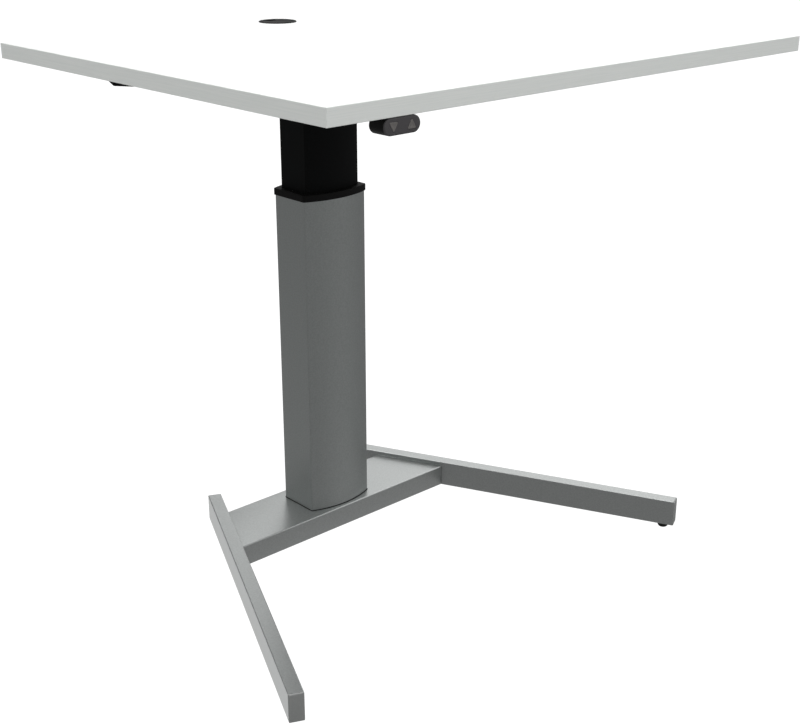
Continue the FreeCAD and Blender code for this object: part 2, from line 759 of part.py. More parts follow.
def make_column():
    """The fixed and the lifted tube, with their seals and glides."""
    gasket = ring_body("column_gasket", "-1 * gasket_margin", "outer_tube_wall", "gasket_thickness",
                       BEAM_TOP)
    round_corners(gasket, "-1 * gasket_margin", "column_corner_radius + gasket_margin")

    outer_tube = ring_body("outer_tube", "0", "outer_tube_wall", "outer_tube_length",
                           f"{BEAM_TOP} + gasket_thickness")
    round_corners(outer_tube, "0", "column_corner_radius")

    inner_tube = ring_body("inner_tube", "tube_step", "tube_step + inner_tube_wall", "inner_tube_length",
                           f"{HEAD} - inner_tube_length")
    round_corners(inner_tube, "tube_step", "column_corner_radius")

    collar = ring_body("top_collar", "-1 * collar_margin", "tube_step - collar_gap", "collar_height",
                       COLUMN_TOP)
    round_corners(collar, "-1 * collar_margin", "column_corner_radius + collar_margin")
    round_edges(collar, "collar_rounding", lambda edge: is_outer_rim(edge)
                and (is_level(edge, 2, "0") or is_level(edge, 2, "collar_height")))

    upper_glide = ring_body("upper_glide_frame", "outer_tube_wall + seat_gap", "tube_step - glide_gap",
                            "upper_glide_length", f"{COLUMN_TOP} - upper_glide_length")

    lower_glide = ring_body("lower_glide_frame", "outer_tube_wall + glide_gap", "tube_step - seat_gap",
                            "lower_glide_length", f"{HEAD} - inner_tube_length")
    lip = sketch(lower_glide, level="-1 * glide_lip")
    lens(lip, "outer_tube_wall + glide_gap")
    lens(lip, "tube_step + inner_tube_wall")
    pad(lower_glide, lip, "glide_lip")

    plate = new_body("column_foot_plate")
    drawing = sketch(plate)
    lens(drawing, "outer_tube_wall + column_plate_gap")
    circle(drawing, "spindle_passage")
    for spot in COLUMN_BOLT_SPOTS:
        circle(drawing, "bolt_diameter + 2 * thread_gap", *spot)
    pad(plate, drawing, "column_plate_thickness")
    place(plate, y=COLUMN_Y, z=BEAM_TOP)

    length = "stiffener_thickness + beam_wall + column_plate_thickness - pilot_slack"
    master = bolt("column_bolt_master", length)
    bolts = group("column_bolts", [copy_at(master, *spot) for spot in COLUMN_BOLT_SPOTS])
    place(bolts, y=COLUMN_Y, z=f"{BEAM_TOP} - beam_wall - stiffener_thickness")
    return [gasket, outer_tube, inner_tube, collar, upper_glide, lower_glide, plate, bolts]


def is_outer_rim(edge):
    """Whether an edge lies outside the outer tube's own section."""
    box = edge.BoundBox
    spread = max(abs(box.XMin), abs(box.XMax)), max(abs(box.YMin), abs(box.YMax))
    return spread[0] > amount("column_width / 2") or spread[1] > amount("column_depth / 2")


# ---------------------------------------------------------------- drive

def make_drive():
    """The gearmotor hung in the inner tube, its spindle, and the nut on its push tube."""
    inner, outer = "(push_tube_diameter / 2 - push_tube_wall)", "push_tube_diameter / 2"
    push_tube = turned("push_tube", [(inner, "0"), (outer, "0"), (outer, "push_tube_length"),
                                     (inner, "push_tube_length")])
    place(push_tube, y=COLUMN_Y, z=COLUMN_PLATE_TOP)

    thread = "(spindle_diameter / 2 + spindle_gap)"
    skirt = f"({inner} - nut_skirt_gap)"
    boss_top = "(nut_flange_thickness + nut_boss_height)"
    nut = turned("drive_nut", [(thread, "-1 * nut_skirt"), (skirt, "-1 * nut_skirt"), (skirt, "0"),
                               ("nut_flange_diameter / 2", "0"),
                               ("nut_flange_diameter / 2", "nut_flange_thickness"),
                               ("nut_boss_diameter / 2", "nut_flange_thickness"),
                               ("nut_boss_diameter / 2", boss_top), (thread, boss_top)])
    place(nut, y=COLUMN_Y, z=f"{COLUMN_PLATE_TOP} + push_tube_length")

    rod, journal = "spindle_diameter / 2", "spindle_journal_diameter / 2"
    collar = "spindle_collar_diameter / 2"
    collar_low, tail = "-1 * spindle_collar_height", "-1 * (spindle_collar_height + spindle_length)"
    spindle = turned("spindle", [("0", tail), (rod, tail), (rod, collar_low), (collar, collar_low),
                                 (collar, "0"), (journal, "0"), (journal, "spindle_journal_length"),
                                 ("0", "spindle_journal_length")])
    place(spindle, y=COLUMN_Y, z=SPINDLE_SHOULDER)

    hole, rim = "(spindle_journal_diameter / 2 + spindle_gap)", "thrust_bearing_diameter / 2"
    cage, upper = f"({rim} - thrust_cage_inset)", "(thrust_bearing_height - thrust_race_height)"
    bearing = turned("thrust_bearing", [(hole, "0"), (rim, "0"), (rim, "thrust_race_height"),
                                        (cage, "thrust_race_height"), (cage, upper), (rim, upper),
                                        (rim, "thrust_bearing_height"), (hole, "thrust_bearing_height")])
    place(bearing, y=COLUMN_Y, z=SPINDLE_SHOULDER)

    bore_top = "(coupling_length - coupling_web)"
    rim = "coupling_diameter / 2"
    coupling = turned("spindle_coupling", [(hole, "0"), (rim, "0"), (rim, "coupling_length"),
                                           ("0", "coupling_length"), ("0", bore_top), (hole, bore_top)])
    place(coupling, y=COLUMN_Y, z=f"{BEARING_PLATE_BOTTOM} + coupling_offset")

    spots = [(f"motor_screw_circle / 2 * cos({angle} deg)", f"motor_screw_circle / 2 * sin({angle} deg)")
             for angle in (45, 135, 225, 315)]
    plate = new_body("bearing_plate")
    drawing = sketch(plate)
    lens(drawing, "tube_step + inner_tube_wall + column_plate_gap")
    circle(drawing, "bearing_plate_bore")
    for spot in spots:
        circle(drawing, "motor_screw_diameter + bolt_hole_gap", *spot)
    pad(plate, drawing, "bearing_plate_thickness")
    place(plate, y=COLUMN_Y, z=BEARING_PLATE_BOTTOM)

    recess, rim = "(coupling_diameter / 2 + spindle_gap)", "gearbox_diameter / 2"
    gearbox = turned("gearbox", [("0", "gearbox_recess"), (recess, "gearbox_recess"), (recess, "0"),
                                 (rim, "0"), (rim, "gearbox_length - gearbox_bevel"),
                                 (f"{rim} - gearbox_bevel", "gearbox_length"), ("0", "gearbox_length")])
    bore(gearbox, "motor_screw_diameter + 2 * thread_gap", spots, depth="motor_screw_hole_depth",
         along_normal=True)
    place(gearbox, y=COLUMN_Y, z=GEARBOX_BOTTOM)

    rim, neck = "motor_diameter / 2", "motor_neck_diameter / 2"
    motor = turned("motor", [("0", "0"), (f"{rim} - motor_bevel", "0"), (rim, "motor_bevel"),
                             (rim, "motor_length - motor_bevel"), (f"{rim} - motor_bevel", "motor_length"),
                             (neck, "motor_length"), (neck, "motor_length + motor_neck_height"),
                             ("0", "motor_length + motor_neck_height")])
    place(motor, y=COLUMN_Y, z=GEARBOX_TOP)

    master = screw("motor_screw_master", "motor_screw_diameter", "motor_screw_length",
                   "motor_screw_head_diameter", "motor_screw_head_height")
    screws = group("motor_screws", [copy_at(master, *spot) for spot in spots])
    place(screws, y=COLUMN_Y, z=BEARING_PLATE_BOTTOM)
    return [push_tube, nut, spindle, bearing, coupling, plate, gearbox, motor, screws]


# ---------------------------------------------------------------- head plate and arms

def make_head_plate():
    """The plate on the inner tube that the arms and the desk top are fixed to."""
    body = new_body("head_plate")
    drawing = sketch(body)
    half = "head_plate_width / 2"
    polygon(drawing, [(f"-1 * {half}", "-1 * head_plate_front"), (half, "-1 * head_plate_front"),
                      (half, "head_plate_back"), (f"-1 * {half}", "head_plate_back")])
    pad(body, drawing, "head_plate_thickness")
    round_edges(body, "head_plate_rounding", is_upright)
    bore(body, "bolt_diameter + 2 * thread_gap", ARM_BOLT_SPOTS, level="head_plate_thickness")
    bore(body, "screw_diameter + 2 * screw_gap", CORNER_SPOTS, level="head_plate_thickness")
    return place(body, y=COLUMN_Y, z=HEAD)


def make_arm(label, start, reach, heading, deep_side):
    """A folded arm, open below: one deep wall that tapers to a bevelled tip, and a lip along the rest."""
    body = new_body(label)
    shoulder = f"({reach} - arm_taper_length)"
    drawing = sketch(body, level="-1 * arm_width / 2")
    polygon(drawing, [(start, "0"), (reach, "0"), (reach, "arm_tip_bevel - arm_tip_depth"),
                      (f"{reach} - arm_tip_bevel", "-1 * arm_tip_depth"), (shoulder, "-1 * arm_root_depth"),
                      (start, "-1 * arm_root_depth")])
    pad(body, drawing, "arm_width")
    drawing = sketch(body, level="arm_width / 2 - arm_wall")
    rear, front = f"{start} - arm_wall", f"{reach} - arm_wall"
    polygon(drawing, [(rear, "-1 * arm_wall"), (front, "-1 * arm_wall"), (front, "-2 * arm_root_depth"),
                      (rear, "-2 * arm_root_depth")])
    pocket(body, drawing, "arm_width - 2 * arm_wall")
    drawing = sketch(body, level="arm_width / 2" if deep_side < 0 else "arm_width / 2 - arm_wall")
    beyond = f"{reach} + arm_wall"
    polygon(drawing, [(rear, "-1 * arm_lip_depth"), (beyond, "-1 * arm_lip_depth"),
                      (beyond, "-2 * arm_root_depth"), (rear, "-2 * arm_root_depth")])
    pocket(body, drawing, "arm_width - arm_wall")
    bolts = [(f"{start} + arm_bolt_inset", f"{sign} * arm_bolt_span / 2") for sign in (-1, 1)]
    screws = [(spot, "0") for spot in SPACER_REACHES[reach]]
    holes = (("bolt_diameter + bolt_hole_gap", bolts), ("screw_diameter + 2 * screw_gap", screws))
    for diameter, spots in holes:
        bore(body, diameter, spots, role="XZ_Plane", depth="2 * arm_wall", along_normal=True)
    turn = FreeCAD.Rotation(heading, Z_AXIS, heading.cross(Z_AXIS), "XYZ")
    return place(body, y=COLUMN_Y, z=HEAD, turn=turn)


def make_top_frame():
    """Head plate, arms and what fastens them to each other and to the desk top."""
    parts = [make_head_plate(),
             make_arm("left_arm", SIDE_ARM_START, SIDE_ARM_REACH, -X_AXIS, -1),
             make_arm("right_arm", SIDE_ARM_START, SIDE_ARM_REACH, X_AXIS, 1),
             make_arm("front_arm", FRONT_ARM_START, FRONT_ARM_REACH, -Y_AXIS, 1)]

    master = bolt("arm_bolt_master", "arm_wall + head_plate_thickness - pilot_slack")
    bolts = group("arm_bolts", [copy_at(master, *spot) for spot in ARM_BOLT_SPOTS])
    parts.append(place(bolts, y=COLUMN_Y, z=f"{HEAD} - arm_wall"))

    hole, rim = "(screw_diameter / 2 + screw_gap)", "spacer_diameter / 2"
    master = turned("spacer_master", [(hole, "0"), (rim, "0"), (rim, "head_plate_thickness"),
                                      (hole, "head_plate_thickness")])
    spacers = group("desk_spacers", [copy_at(master, *spot) for spot in SPACER_SPOTS])
    parts.append(place(spacers, y=COLUMN_Y, z=HEAD))

    master = screw("desk_screw_master", "screw_diameter", "screw_length", "screw_head_diameter",
                   "screw_head_height")
    screws = [copy_at(master, x, y, "-1 * arm_wall") for x, y in SPACER_SPOTS]
    screws += [copy_at(master, x, y) for x, y in CORNER_SPOTS]
    parts.append(place(group("desk_screws", screws), y=COLUMN_Y, z=HEAD))
    return parts


# ---------------------------------------------------------------- desk top

def desk_sheet(label, level, thickness):
    """One layer of the desk top inside its edge bands, with the grommet's bore."""
    body = new_body(label)
    drawing = sketch(body)
    rectangle(drawing, "desk_width - 2 * edge_band_thickness", "desk_depth - 2 * edge_band_thickness")
    circle(drawing, "grommet_bore", "0", GROMMET_Y)
    pad(body, drawing, thickness)
    return place(body, z=level)


def drill_pilots(body, board_level, depth=None):
    """Pilot holes from below for every screw that enters the desk top."""
    def in_desk(spots):
        return [(x, f"{COLUMN_Y} + {y}") for x, y in spots]

    def reach(length, under):
        if depth is None:
            return None
        return f"({length}) - ({under}) - ({board_level} - {UNDERSIDE}) + pilot_slack"

    bore(body, "screw_diameter + 2 * screw_gap", in_desk(SPACER_SPOTS), along_normal=True,
         depth=reach("screw_length", "arm_wall + head_plate_thickness"))
    bore(body, "screw_diameter + 2 * screw_gap", in_desk(CORNER_SPOTS), along_normal=True,
         depth=reach("screw_length", "head_plate_thickness"))
    bore(body, "small_screw_diameter + 2 * screw_gap", CONTROL_SCREW_SPOTS, along_normal=True,
         depth=reach("small_screw_length", "control_cover_thickness"))
    bore(body, "small_screw_diameter + 2 * screw_gap", HANDSET_SCREW_SPOTS, along_normal=True,
         depth=reach("small_screw_length", "handset_wall + handset_pad_height"))
    return body


def edge_band(label, width, depth, x, y):
    """A plastic strip along one side of the desk top, its outer edges eased."""
    body = new_body(label)
    drawing = sketch(body)
    rectangle(drawing, width, depth)
    pad(body, drawing, "desk_thickness")
    along_x = amount(width) > amount(depth)
    outward = amount(y if along_x else x)
    axis, half = (1, depth) if along_x else (0, width)
    rim = f"{1 if outward > 0 else -1} * ({half}) / 2"
    round_edges(body, "edge_band_rounding", lambda edge: is_level(edge, axis, rim)
                and (is_level(edge, 2, "0") or is_level(edge, 2, "desk_thickness")))
    return place(body, x, y, UNDERSIDE)


def make_desk_top():
    """Board, laminates, edge bands and the grommet with its turning cap."""
    board_level = f"({UNDERSIDE} + laminate_thickness)"
    board = desk_sheet("desk_board", board_level, "desk_thickness - 2 * laminate_thickness")
    drill_pilots(board, board_level, depth="blind")
    below = desk_sheet("underside_laminate", UNDERSIDE, "laminate_thickness")
    drill_pilots(below, UNDERSIDE)
    above = desk_sheet("top_laminate", "desk_height - laminate_thickness", "laminate_thickness")
    parts = [board, below, above]
    for sign, word in ((-1, "front"), (1, "rear")):
        parts.append(edge_band(f"{word}_edge_band", "desk_width", "edge_band_thickness", "0",
                               f"{sign} * (desk_depth - edge_band_thickness) / 2"))
    for sign, word in ((-1, "left"), (1, "right")):
        parts.append(edge_band(f"{word}_edge_band", "edge_band_thickness",
                               "desk_depth - 2 * edge_band_thickness",
                               f"{sign} * (desk_width - edge_band_thickness) / 2", "0"))
    return parts + make_grommet()


def make_grommet():
    """A liner with a flange and an inner ledge, and the notched cap that turns on it."""
    sleeve = "(grommet_bore / 2 - grommet_bore_gap)"
    inside = f"({sleeve} - grommet_sleeve_wall)"
    ledge = f"({inside} - grommet_ledge)"
    rim = "grommet_flange_diameter / 2"
    top, low = "grommet_flange_thickness", "-1 * grommet_sleeve_length"
    seat = "-1 * grommet_seat_depth"
    under = "-1 * (grommet_seat_depth + grommet_ledge_thickness)"
    liner = turned("grommet_liner", [(inside, top), (f"{rim} - grommet_flange_bevel", top),
                                     (rim, f"{top} - grommet_flange_bevel"), (rim, "0"), (sleeve, "0"),
                                     (sleeve, low), (inside, low), (inside, under), (ledge, under),
                                     (ledge, seat), (inside, seat)])
    place(liner, y=GROMMET_Y, z="desk_height")

    cap = new_body("grommet_cap")
    drawing = sketch(cap, level="cap_seat_gap - grommet_seat_depth")
    circle(drawing, f"2 * ({inside} - grommet_cap_gap)")
    pad(cap, drawing, "grommet_seat_depth - cap_seat_gap + grommet_cap_rise")
    drawing = sketch(cap, level="grommet_cap_rise")
    rectangle(drawing, "grommet_notch_width", "2 * grommet_notch_depth", "0", f"{inside} - grommet_cap_gap")
    pocket(cap, drawing)
    place(cap, y=GROMMET_Y, z="desk_height")
    return [liner, cap]


# ---------------------------------------------------------------- control box

def make_control_box():
    """Tray, lid, circuit, mains inlet and screws of the control box under the desk top."""
    tray = new_body("control_box_tray")
    drawing = sketch(tray)
    rectangle(drawing, "control_length", "control_depth")
    pad(tray, drawing, "control_height")
    drawing = sketch(tray, level="control_height")
    rectangle(drawing, "control_length - 2 * control_wall", "control_depth - 2 * control_wall")
    pocket(tray, drawing, "control_height - control_wall")
    drawing = sketch(tray, level="control_wall")
    for sx in (-1, 1):
        for sy in (-1, 1):
            circle(drawing, "standoff_diameter", f"{sx} * (control_length / 2 - standoff_inset)",
                   f"{sy} * (control_depth / 2 - standoff_inset)")
    pad(tray, drawing, "standoff_height")
    drawing = sketch(tray, "YZ_Plane")
    rectangle(drawing, "inlet_width + 2 * inlet_gap", "inlet_height + 2 * inlet_gap",
              "0", "control_height / 2")
    pocket(tray, drawing, along_normal=True)
    spots = [(f"{sign} * gland_span / 2", "control_height / 2") for sign in (-1, 1)]
    bore(tray, "gland_diameter", spots, role="YZ_Plane")
    place(tray, CONTROL_X, "control_y", CONTROL_FLOOR)

    cover = new_body("control_box_cover")
    drawing = sketch(cover)
    rectangle(drawing, "control_length + 2 * control_lug", "control_depth", CONTROL_X, "control_y")
    for spot in CONTROL_SCREW_SPOTS:
        circle(drawing, "small_screw_diameter + 2 * screw_gap", *spot)
    pad(cover, drawing, "control_cover_thickness")
    place(cover, z=f"{UNDERSIDE} - control_cover_thickness")

    master = screw("control_screw_master", "small_screw_diameter", "small_screw_length",
                   "small_screw_head_diameter", "small_screw_head_height")
    screws = group("control_box_screws", [copy_at(master, *spot) for spot in CONTROL_SCREW_SPOTS])
    place(screws, z=f"{UNDERSIDE} - control_cover_thickness")
    return [tray, cover, screws, make_control_circuit(), make_mains_inlet()]


def make_control_circuit():
    """The circuit board with its transformer, capacitors and heat sink."""
    top = "circuit_thickness"
    length = "(control_length - 2 * control_wall - 2 * circuit_margin - inlet_depth)"
    pieces = [block("circuit_sheet", length, "control_depth - 2 * control_wall - 2 * circuit_margin", top,
                    "-1 * inlet_depth / 2", "0", "0"),
              block("transformer", "transformer_length", "transformer_depth", "transformer_height",
                    "0", "0", top),
              block("heat_sink", "heat_sink_length", "heat_sink_depth", "heat_sink_height",
                    f"{length} / 2 - inlet_depth / 2 - heat_sink_length / 2", "0", top)]
    for sign in (-1, 1):
        can = cylinder("capacitor", "capacitor_diameter", "capacitor_height")
        pieces.append(place(can, "-1 * (transformer_length / 2 + capacitor_diameter)",
                            f"{sign} * capacitor_span / 2", top))
    circuit = fused("control_circuit", pieces)
    return place(circuit, CONTROL_X, "control_y", f"{CONTROL_FLOOR} + control_wall + standoff_height")


def make_mains_inlet():
    """A panel inlet with a flange outside the tray's wall, an open socket and three blades."""
    body = new_body("mains_inlet")
    behind = "-1 * inlet_depth"
    drawing = sketch(body, "YZ_Plane", behind)
    rectangle(drawing, "inlet_width", "inlet_height")
    pad(body, drawing, "inlet_depth")
    drawing = sketch(body, "YZ_Plane", "0")
    rectangle(drawing, "inlet_width + 2 * inlet_flange_margin", "inlet_height + 2 * inlet_flange_margin")
    pad(body, drawing, "inlet_flange_thickness")
    drawing = sketch(body, "YZ_Plane", "inlet_flange_thickness")
    rectangle(drawing, "inlet_width - 2 * inlet_wall", "inlet_height - 2 * inlet_wall")
    pocket(body, drawing, "inlet_depth + inlet_flange_thickness - inlet_floor")
    drawing = sketch(body, "YZ_Plane", f"{behind} + inlet_floor")
    for across, up in (("-1 * inlet_pin_span", "-1 * inlet_pin_drop"), ("0", "inlet_pin_drop"),
                       ("inlet_pin_span", "-1 * inlet_pin_drop")):
        rectangle(drawing, "inlet_pin_thickness", "inlet_pin_width", across, up)
    pad(body, drawing, "inlet_pin_length")
    return place(body, f"{CONTROL_X} + control_length / 2", "control_y",
                 f"{CONTROL_FLOOR} + control_height / 2")


def make_lead_glands():
    """Rubber bushes where leads enter the control box and the handset."""
    neck, lip, hole = "gland_diameter / 2", "gland_diameter / 2 + gland_lip", "gland_bore / 2"
    pieces = []
    handset_row = "handset_setback + handset_depth - handset_wall - desk_depth / 2"
    walls = (("control_wall", f"{CONTROL_X} - control_length / 2", GLAND_SPOTS,
              f"{CONTROL_FLOOR} + control_height / 2", FreeCAD.Rotation(Y_AXIS, 90)),
             ("handset_wall", HANDSET_X, [handset_row], HANDSET_Z, FreeCAD.Rotation(X_AXIS, -90)))
    for wall, x, rows, z, turn in walls:
        near, far = "-1 * gland_lip", f"{wall} + gland_lip"
        master = turned(f"gland_master_{wall}", [(hole, near), (lip, near), (lip, "0"), (neck, "0"),
                                                 (neck, wall), (lip, wall), (lip, far), (hole, far)])
        pieces += [copy_at(master, x, y, z, turn) for y in rows]
    return group("lead_glands", pieces)


# ---------------------------------------------------------------- handset

def make_handset():
    """Shell, face, circuit, keys and screws of the up and down handset under the front edge."""
    face_back = "(handset_setback + handset_face_thickness)"
    back = "(handset_setback + handset_depth)"
    here = (HANDSET_X, "-1 * desk_depth / 2", HANDSET_Z)

    shell = new_body("handset_shell")
    drawing = sketch(shell, "XZ_Plane", f"-1 * {back}")
    slot(drawing, "handset_width", "handset_height")
    pad(shell, drawing, "handset_depth - handset_face_thickness")
    drawing = sketch(shell, "XZ_Plane", f"-1 * {face_back}")
    slot(drawing, "handset_width - 2 * handset_wall", "handset_height - 2 * handset_wall")
    pocket(shell, drawing, "handset_depth - handset_face_thickness - handset_wall")
    bore(shell, "gland_diameter", [("0", "0")], role="XZ_Plane", level=f"-1 * {back} + 2 * handset_wall")
    spots = [(f"{side} * handset_screw_span / 2", "handset_screw_back") for side in (-1, 1)]
    drawing = sketch(shell, level="handset_height / 2")
    for spot in spots:
        circle(drawing, "handset_pad_diameter", *spot)
    pad(shell, drawing, "handset_pad_height")
    bore(shell, "small_screw_diameter + 2 * screw_gap", spots, along_normal=True)
    bore(shell, "handset_access_diameter", spots)
    place(shell, *here)

    face = new_body("handset_face")
    drawing = sketch(face, "XZ_Plane", f"-1 * {face_back}")
    slot(drawing, "handset_width", "handset_height")
    pad(face, drawing, "handset_face_thickness")
    round_edges(face, "handset_face_rounding", lambda edge: is_level(edge, 1, "handset_setback"))
    for side in (-1, 1):
        drawing = sketch(face, "XZ_Plane", "0")
        triangle(drawing, f"{side} * key_span / 2", side > 0, "key_gap")
        pocket(face, drawing)
    place(face, *here)

    keys = []
    flange_front = f"({face_back} + key_stop_gap)"
    flange_back = f"({flange_front} + key_flange_thickness)"
    for side, label in ((-1, "down_button"), (1, "up_button")):
        key = new_body(label)
        drawing = sketch(key, "XZ_Plane", f"-1 * {flange_back}")
        rectangle(drawing, "key_flange_width", "key_flange_height")
        pad(key, drawing, "key_flange_thickness")
        drawing = sketch(key, "XZ_Plane", f"-1 * {flange_front}")
        triangle(drawing, "0", side > 0)
        pad(key, drawing, f"{flange_front} - handset_setback + key_rise")
        keys.append(place(key, f"{here[0]} + {side} * key_span / 2", here[1], here[2]))

    front = f"({flange_back} + key_travel + key_stop_gap)"
    circuit_front = f"{front} + switch_height"
    pieces = [block("handset_sheet", "handset_width - handset_height",
                    "circuit_thickness", "handset_height - 2 * handset_wall - 2 * handset_circuit_gap",
                    "0", f"{circuit_front} + circuit_thickness / 2",
                    "handset_wall + handset_circuit_gap - handset_height / 2")]
    for side in (-1, 1):
        pieces.append(block("key_switch", "switch_size", "switch_height", "switch_size",
                            f"{side} * key_span / 2", f"{front} + switch_height / 2",
                            "-1 * switch_size / 2"))
    circuit = place(fused("handset_circuit", pieces), *here)

    master = screw("handset_screw_master", "small_screw_diameter", "small_screw_length",
                   "small_screw_head_diameter", "small_screw_head_height")
    screws = group("handset_screws", [copy_at(master, *spot) for spot in HANDSET_SCREW_SPOTS])
    place(screws, z=f"{UNDERSIDE} - handset_pad_height - handset_wall")
    return [shell, face, circuit, screws] + keys


# ---------------------------------------------------------------- build and export

def check(parts):
    """Stop unless every object is up to date and every sub-part has a sound shape."""
    for thing in document.Objects:
        if {"Invalid", "Error"} & set(thing.State):
            raise RuntimeError(f"{thing.Label} failed: {thing.State}")
    for part in parts:
        if part.Shape.isNull() or not part.Shape.isValid() or not part.Shape.Solids:
            raise RuntimeError(f"{part.Label} has no sound shape")


def export(parts):
    """Write each sub-part to a STEP file of its own name."""
    os.makedirs("parts", exist_ok=True)
    for part in parts:
        part.Shape.exportStep(os.path.join("parts", f"{part.Label}.step"))


def main():
    """Build the desk, check it and write its sub-parts."""
    parts = make_foot_frame() + make_column() + make_drive() + make_top_frame() + make_desk_top()
    parts += make_control_box() + [make_lead_glands()] + make_handset()
    document.recompute()
    check(parts)
    export(parts)
    print(f"{len(parts)} sub-parts written")


main()
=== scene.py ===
import math

import bmesh
import bpy
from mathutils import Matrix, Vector


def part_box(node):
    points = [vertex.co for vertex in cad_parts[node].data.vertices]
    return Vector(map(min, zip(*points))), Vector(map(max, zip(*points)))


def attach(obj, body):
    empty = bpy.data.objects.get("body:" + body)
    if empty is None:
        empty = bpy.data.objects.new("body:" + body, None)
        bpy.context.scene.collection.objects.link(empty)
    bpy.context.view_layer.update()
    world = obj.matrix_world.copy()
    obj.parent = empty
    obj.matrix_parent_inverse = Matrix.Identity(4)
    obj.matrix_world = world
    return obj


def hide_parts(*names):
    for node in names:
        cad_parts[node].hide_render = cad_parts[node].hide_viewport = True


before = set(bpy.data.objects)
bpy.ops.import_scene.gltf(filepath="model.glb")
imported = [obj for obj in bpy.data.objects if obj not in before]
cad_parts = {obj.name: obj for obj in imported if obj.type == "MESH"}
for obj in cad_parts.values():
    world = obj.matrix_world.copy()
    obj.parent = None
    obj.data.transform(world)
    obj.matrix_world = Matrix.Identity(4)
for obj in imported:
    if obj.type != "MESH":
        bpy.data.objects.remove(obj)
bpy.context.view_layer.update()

# The sizes of the pieces are in millimetres, and this makes them metres.
MM = 0.001

# ------------------------------------------------------------------ materials

# The colour sockets of a Mix node, which shares its socket names between data types.
MIX_FACTOR, MIX_LOW, MIX_HIGH, MIX_RESULT = 0, 6, 7, 2
# The values between which a noise changes a colour, and a roughness.
COLOUR_SPAN, GLOSS_SPAN = (0.35, 0.65), (0.3, 0.7)


def linear(code):
    """An sRGB hex colour as the linear colour that a shader takes."""
    shares = [int(code[i:i + 2], 16) / 255 for i in (1, 3, 5)]
    return (*[s / 12.92 if s <= 0.04045 else ((s + 0.055) / 1.055) ** 2.4 for s in shares], 1.0)


def per_metre(millimetres):
    """A texture's scale for a pattern whose features are this many millimetres apart."""
    return 1 / (millimetres * MM)


def add_node(tree, kind, inputs=None, **settings):
    """Add a node with its settings; each input gets a value or another node's output."""
    node = tree.nodes.new(kind)
    for name, value in settings.items():
        setattr(node, name, value)
    for key, value in (inputs or {}).items():
        if isinstance(value, bpy.types.NodeSocket):
            tree.links.new(value, node.inputs[key])
        else:
            node.inputs[key].default_value = value
    return node


def new_finish(name, **shader):
    """An empty material with its surface shader, and the coordinates that its patterns read."""
    finish = bpy.data.materials.new(name)
    finish.use_nodes = True
    tree = finish.node_tree
    tree.nodes.clear()
    surface = add_node(tree, "ShaderNodeBsdfPrincipled",
                       {key.replace("_", " "): value for key, value in shader.items()})
    add_node(tree, "ShaderNodeOutputMaterial", {"Surface": surface.outputs["BSDF"]})
    return finish, tree, surface, add_node(tree, "ShaderNodeTexCoord").outputs["Object"]


def grain(tree, place, millimetres, detail=2.0, stretch=None):
    """A noise with features of a real size, drawn out along an axis where stretch says so."""
    if stretch:
        place = add_node(tree, "ShaderNodeMapping", {"Vector": place, "Scale": stretch}).outputs[0]
    return add_node(tree, "ShaderNodeTexNoise", {"Vector": place, "Scale": per_metre(millimetres),
                                                 "Detail": detail}).outputs["Fac"]


def tint(tree, surface, pattern, low, high, span=COLOUR_SPAN):
    """Let a pattern shift the colour between two shades."""
    share = add_node(tree, "ShaderNodeMapRange", {"Value": pattern, "From Min": span[0],
                                                  "From Max": span[1]}).outputs[0]
    mixed = add_node(tree, "ShaderNodeMix", {MIX_FACTOR: share, MIX_LOW: linear(low),
                                             MIX_HIGH: linear(high)}, data_type="RGBA")
    tree.links.new(mixed.outputs[MIX_RESULT], surface.inputs["Base Color"])


def gloss(tree, surface, pattern, low, high):
    """Let a pattern shift the roughness between two values."""
    share = add_node(tree, "ShaderNodeMapRange", {
        "Value": pattern, "From Min": GLOSS_SPAN[0], "From Max": GLOSS_SPAN[1],
        "To Min": low, "To Max": high}).outputs[0]
    tree.links.new(share, surface.inputs["Roughness"])


def relief(tree, surface, height, millimetres, strength=1.0):
    """Let a pattern raise the surface by up to this many millimetres."""
    bump = add_node(tree, "ShaderNodeBump", {"Height": height, "Distance": millimetres * MM,
                                             "Strength": strength})
    tree.links.new(bump.outputs["Normal"], surface.inputs["Normal"])


def melamine_laminate(name, low, high):
    """Melamine laminate pressed on a pearl plate: white, and its pebble reflects softly."""
    # The real pebble is about 0.6 mm wide, and is drawn coarser so that it shows.
    finish, tree, surface, place = new_finish(name, IOR=1.5)
    pebble = grain(tree, place, 2.2, detail=3.0)
    tint(tree, surface, grain(tree, place, 90.0), low, high)
    gloss(tree, surface, pebble, 0.42, 0.52)
    relief(tree, surface, pebble, 0.05, strength=0.4)
    return finish


def extruded_edging(name, low, high, stretch):
    """ABS edging, extruded and planed flush: a satin white with faint lines along its length."""
    # The real lines are about 0.4 mm apart, and are drawn coarser so that they show.
    finish, tree, surface, place = new_finish(name, IOR=1.53)
    lines = grain(tree, place, 1.6, stretch=stretch)
    tint(tree, surface, lines, low, high)
    gloss(tree, surface, lines, 0.40, 0.50)
    relief(tree, surface, lines, 0.03, strength=0.35)
    return finish


def powder_coat(name, low, high, metallic, rough, sheen_level=0.5):
    """Baked powder paint: even in colour, with an orange peel that softens its highlights."""
    # The real bumps are about 1 mm wide, and are drawn coarser so that they show.
    finish, tree, surface, place = new_finish(name, Metallic=metallic, IOR=1.5,
                                              Specular_IOR_Level=sheen_level)
    bumps = grain(tree, place, 2.6)
    tint(tree, surface, bumps, low, high)
    gloss(tree, surface, bumps, rough - 0.03, rough + 0.03)
    relief(tree, surface, bumps, 0.06, strength=0.2)
    return finish


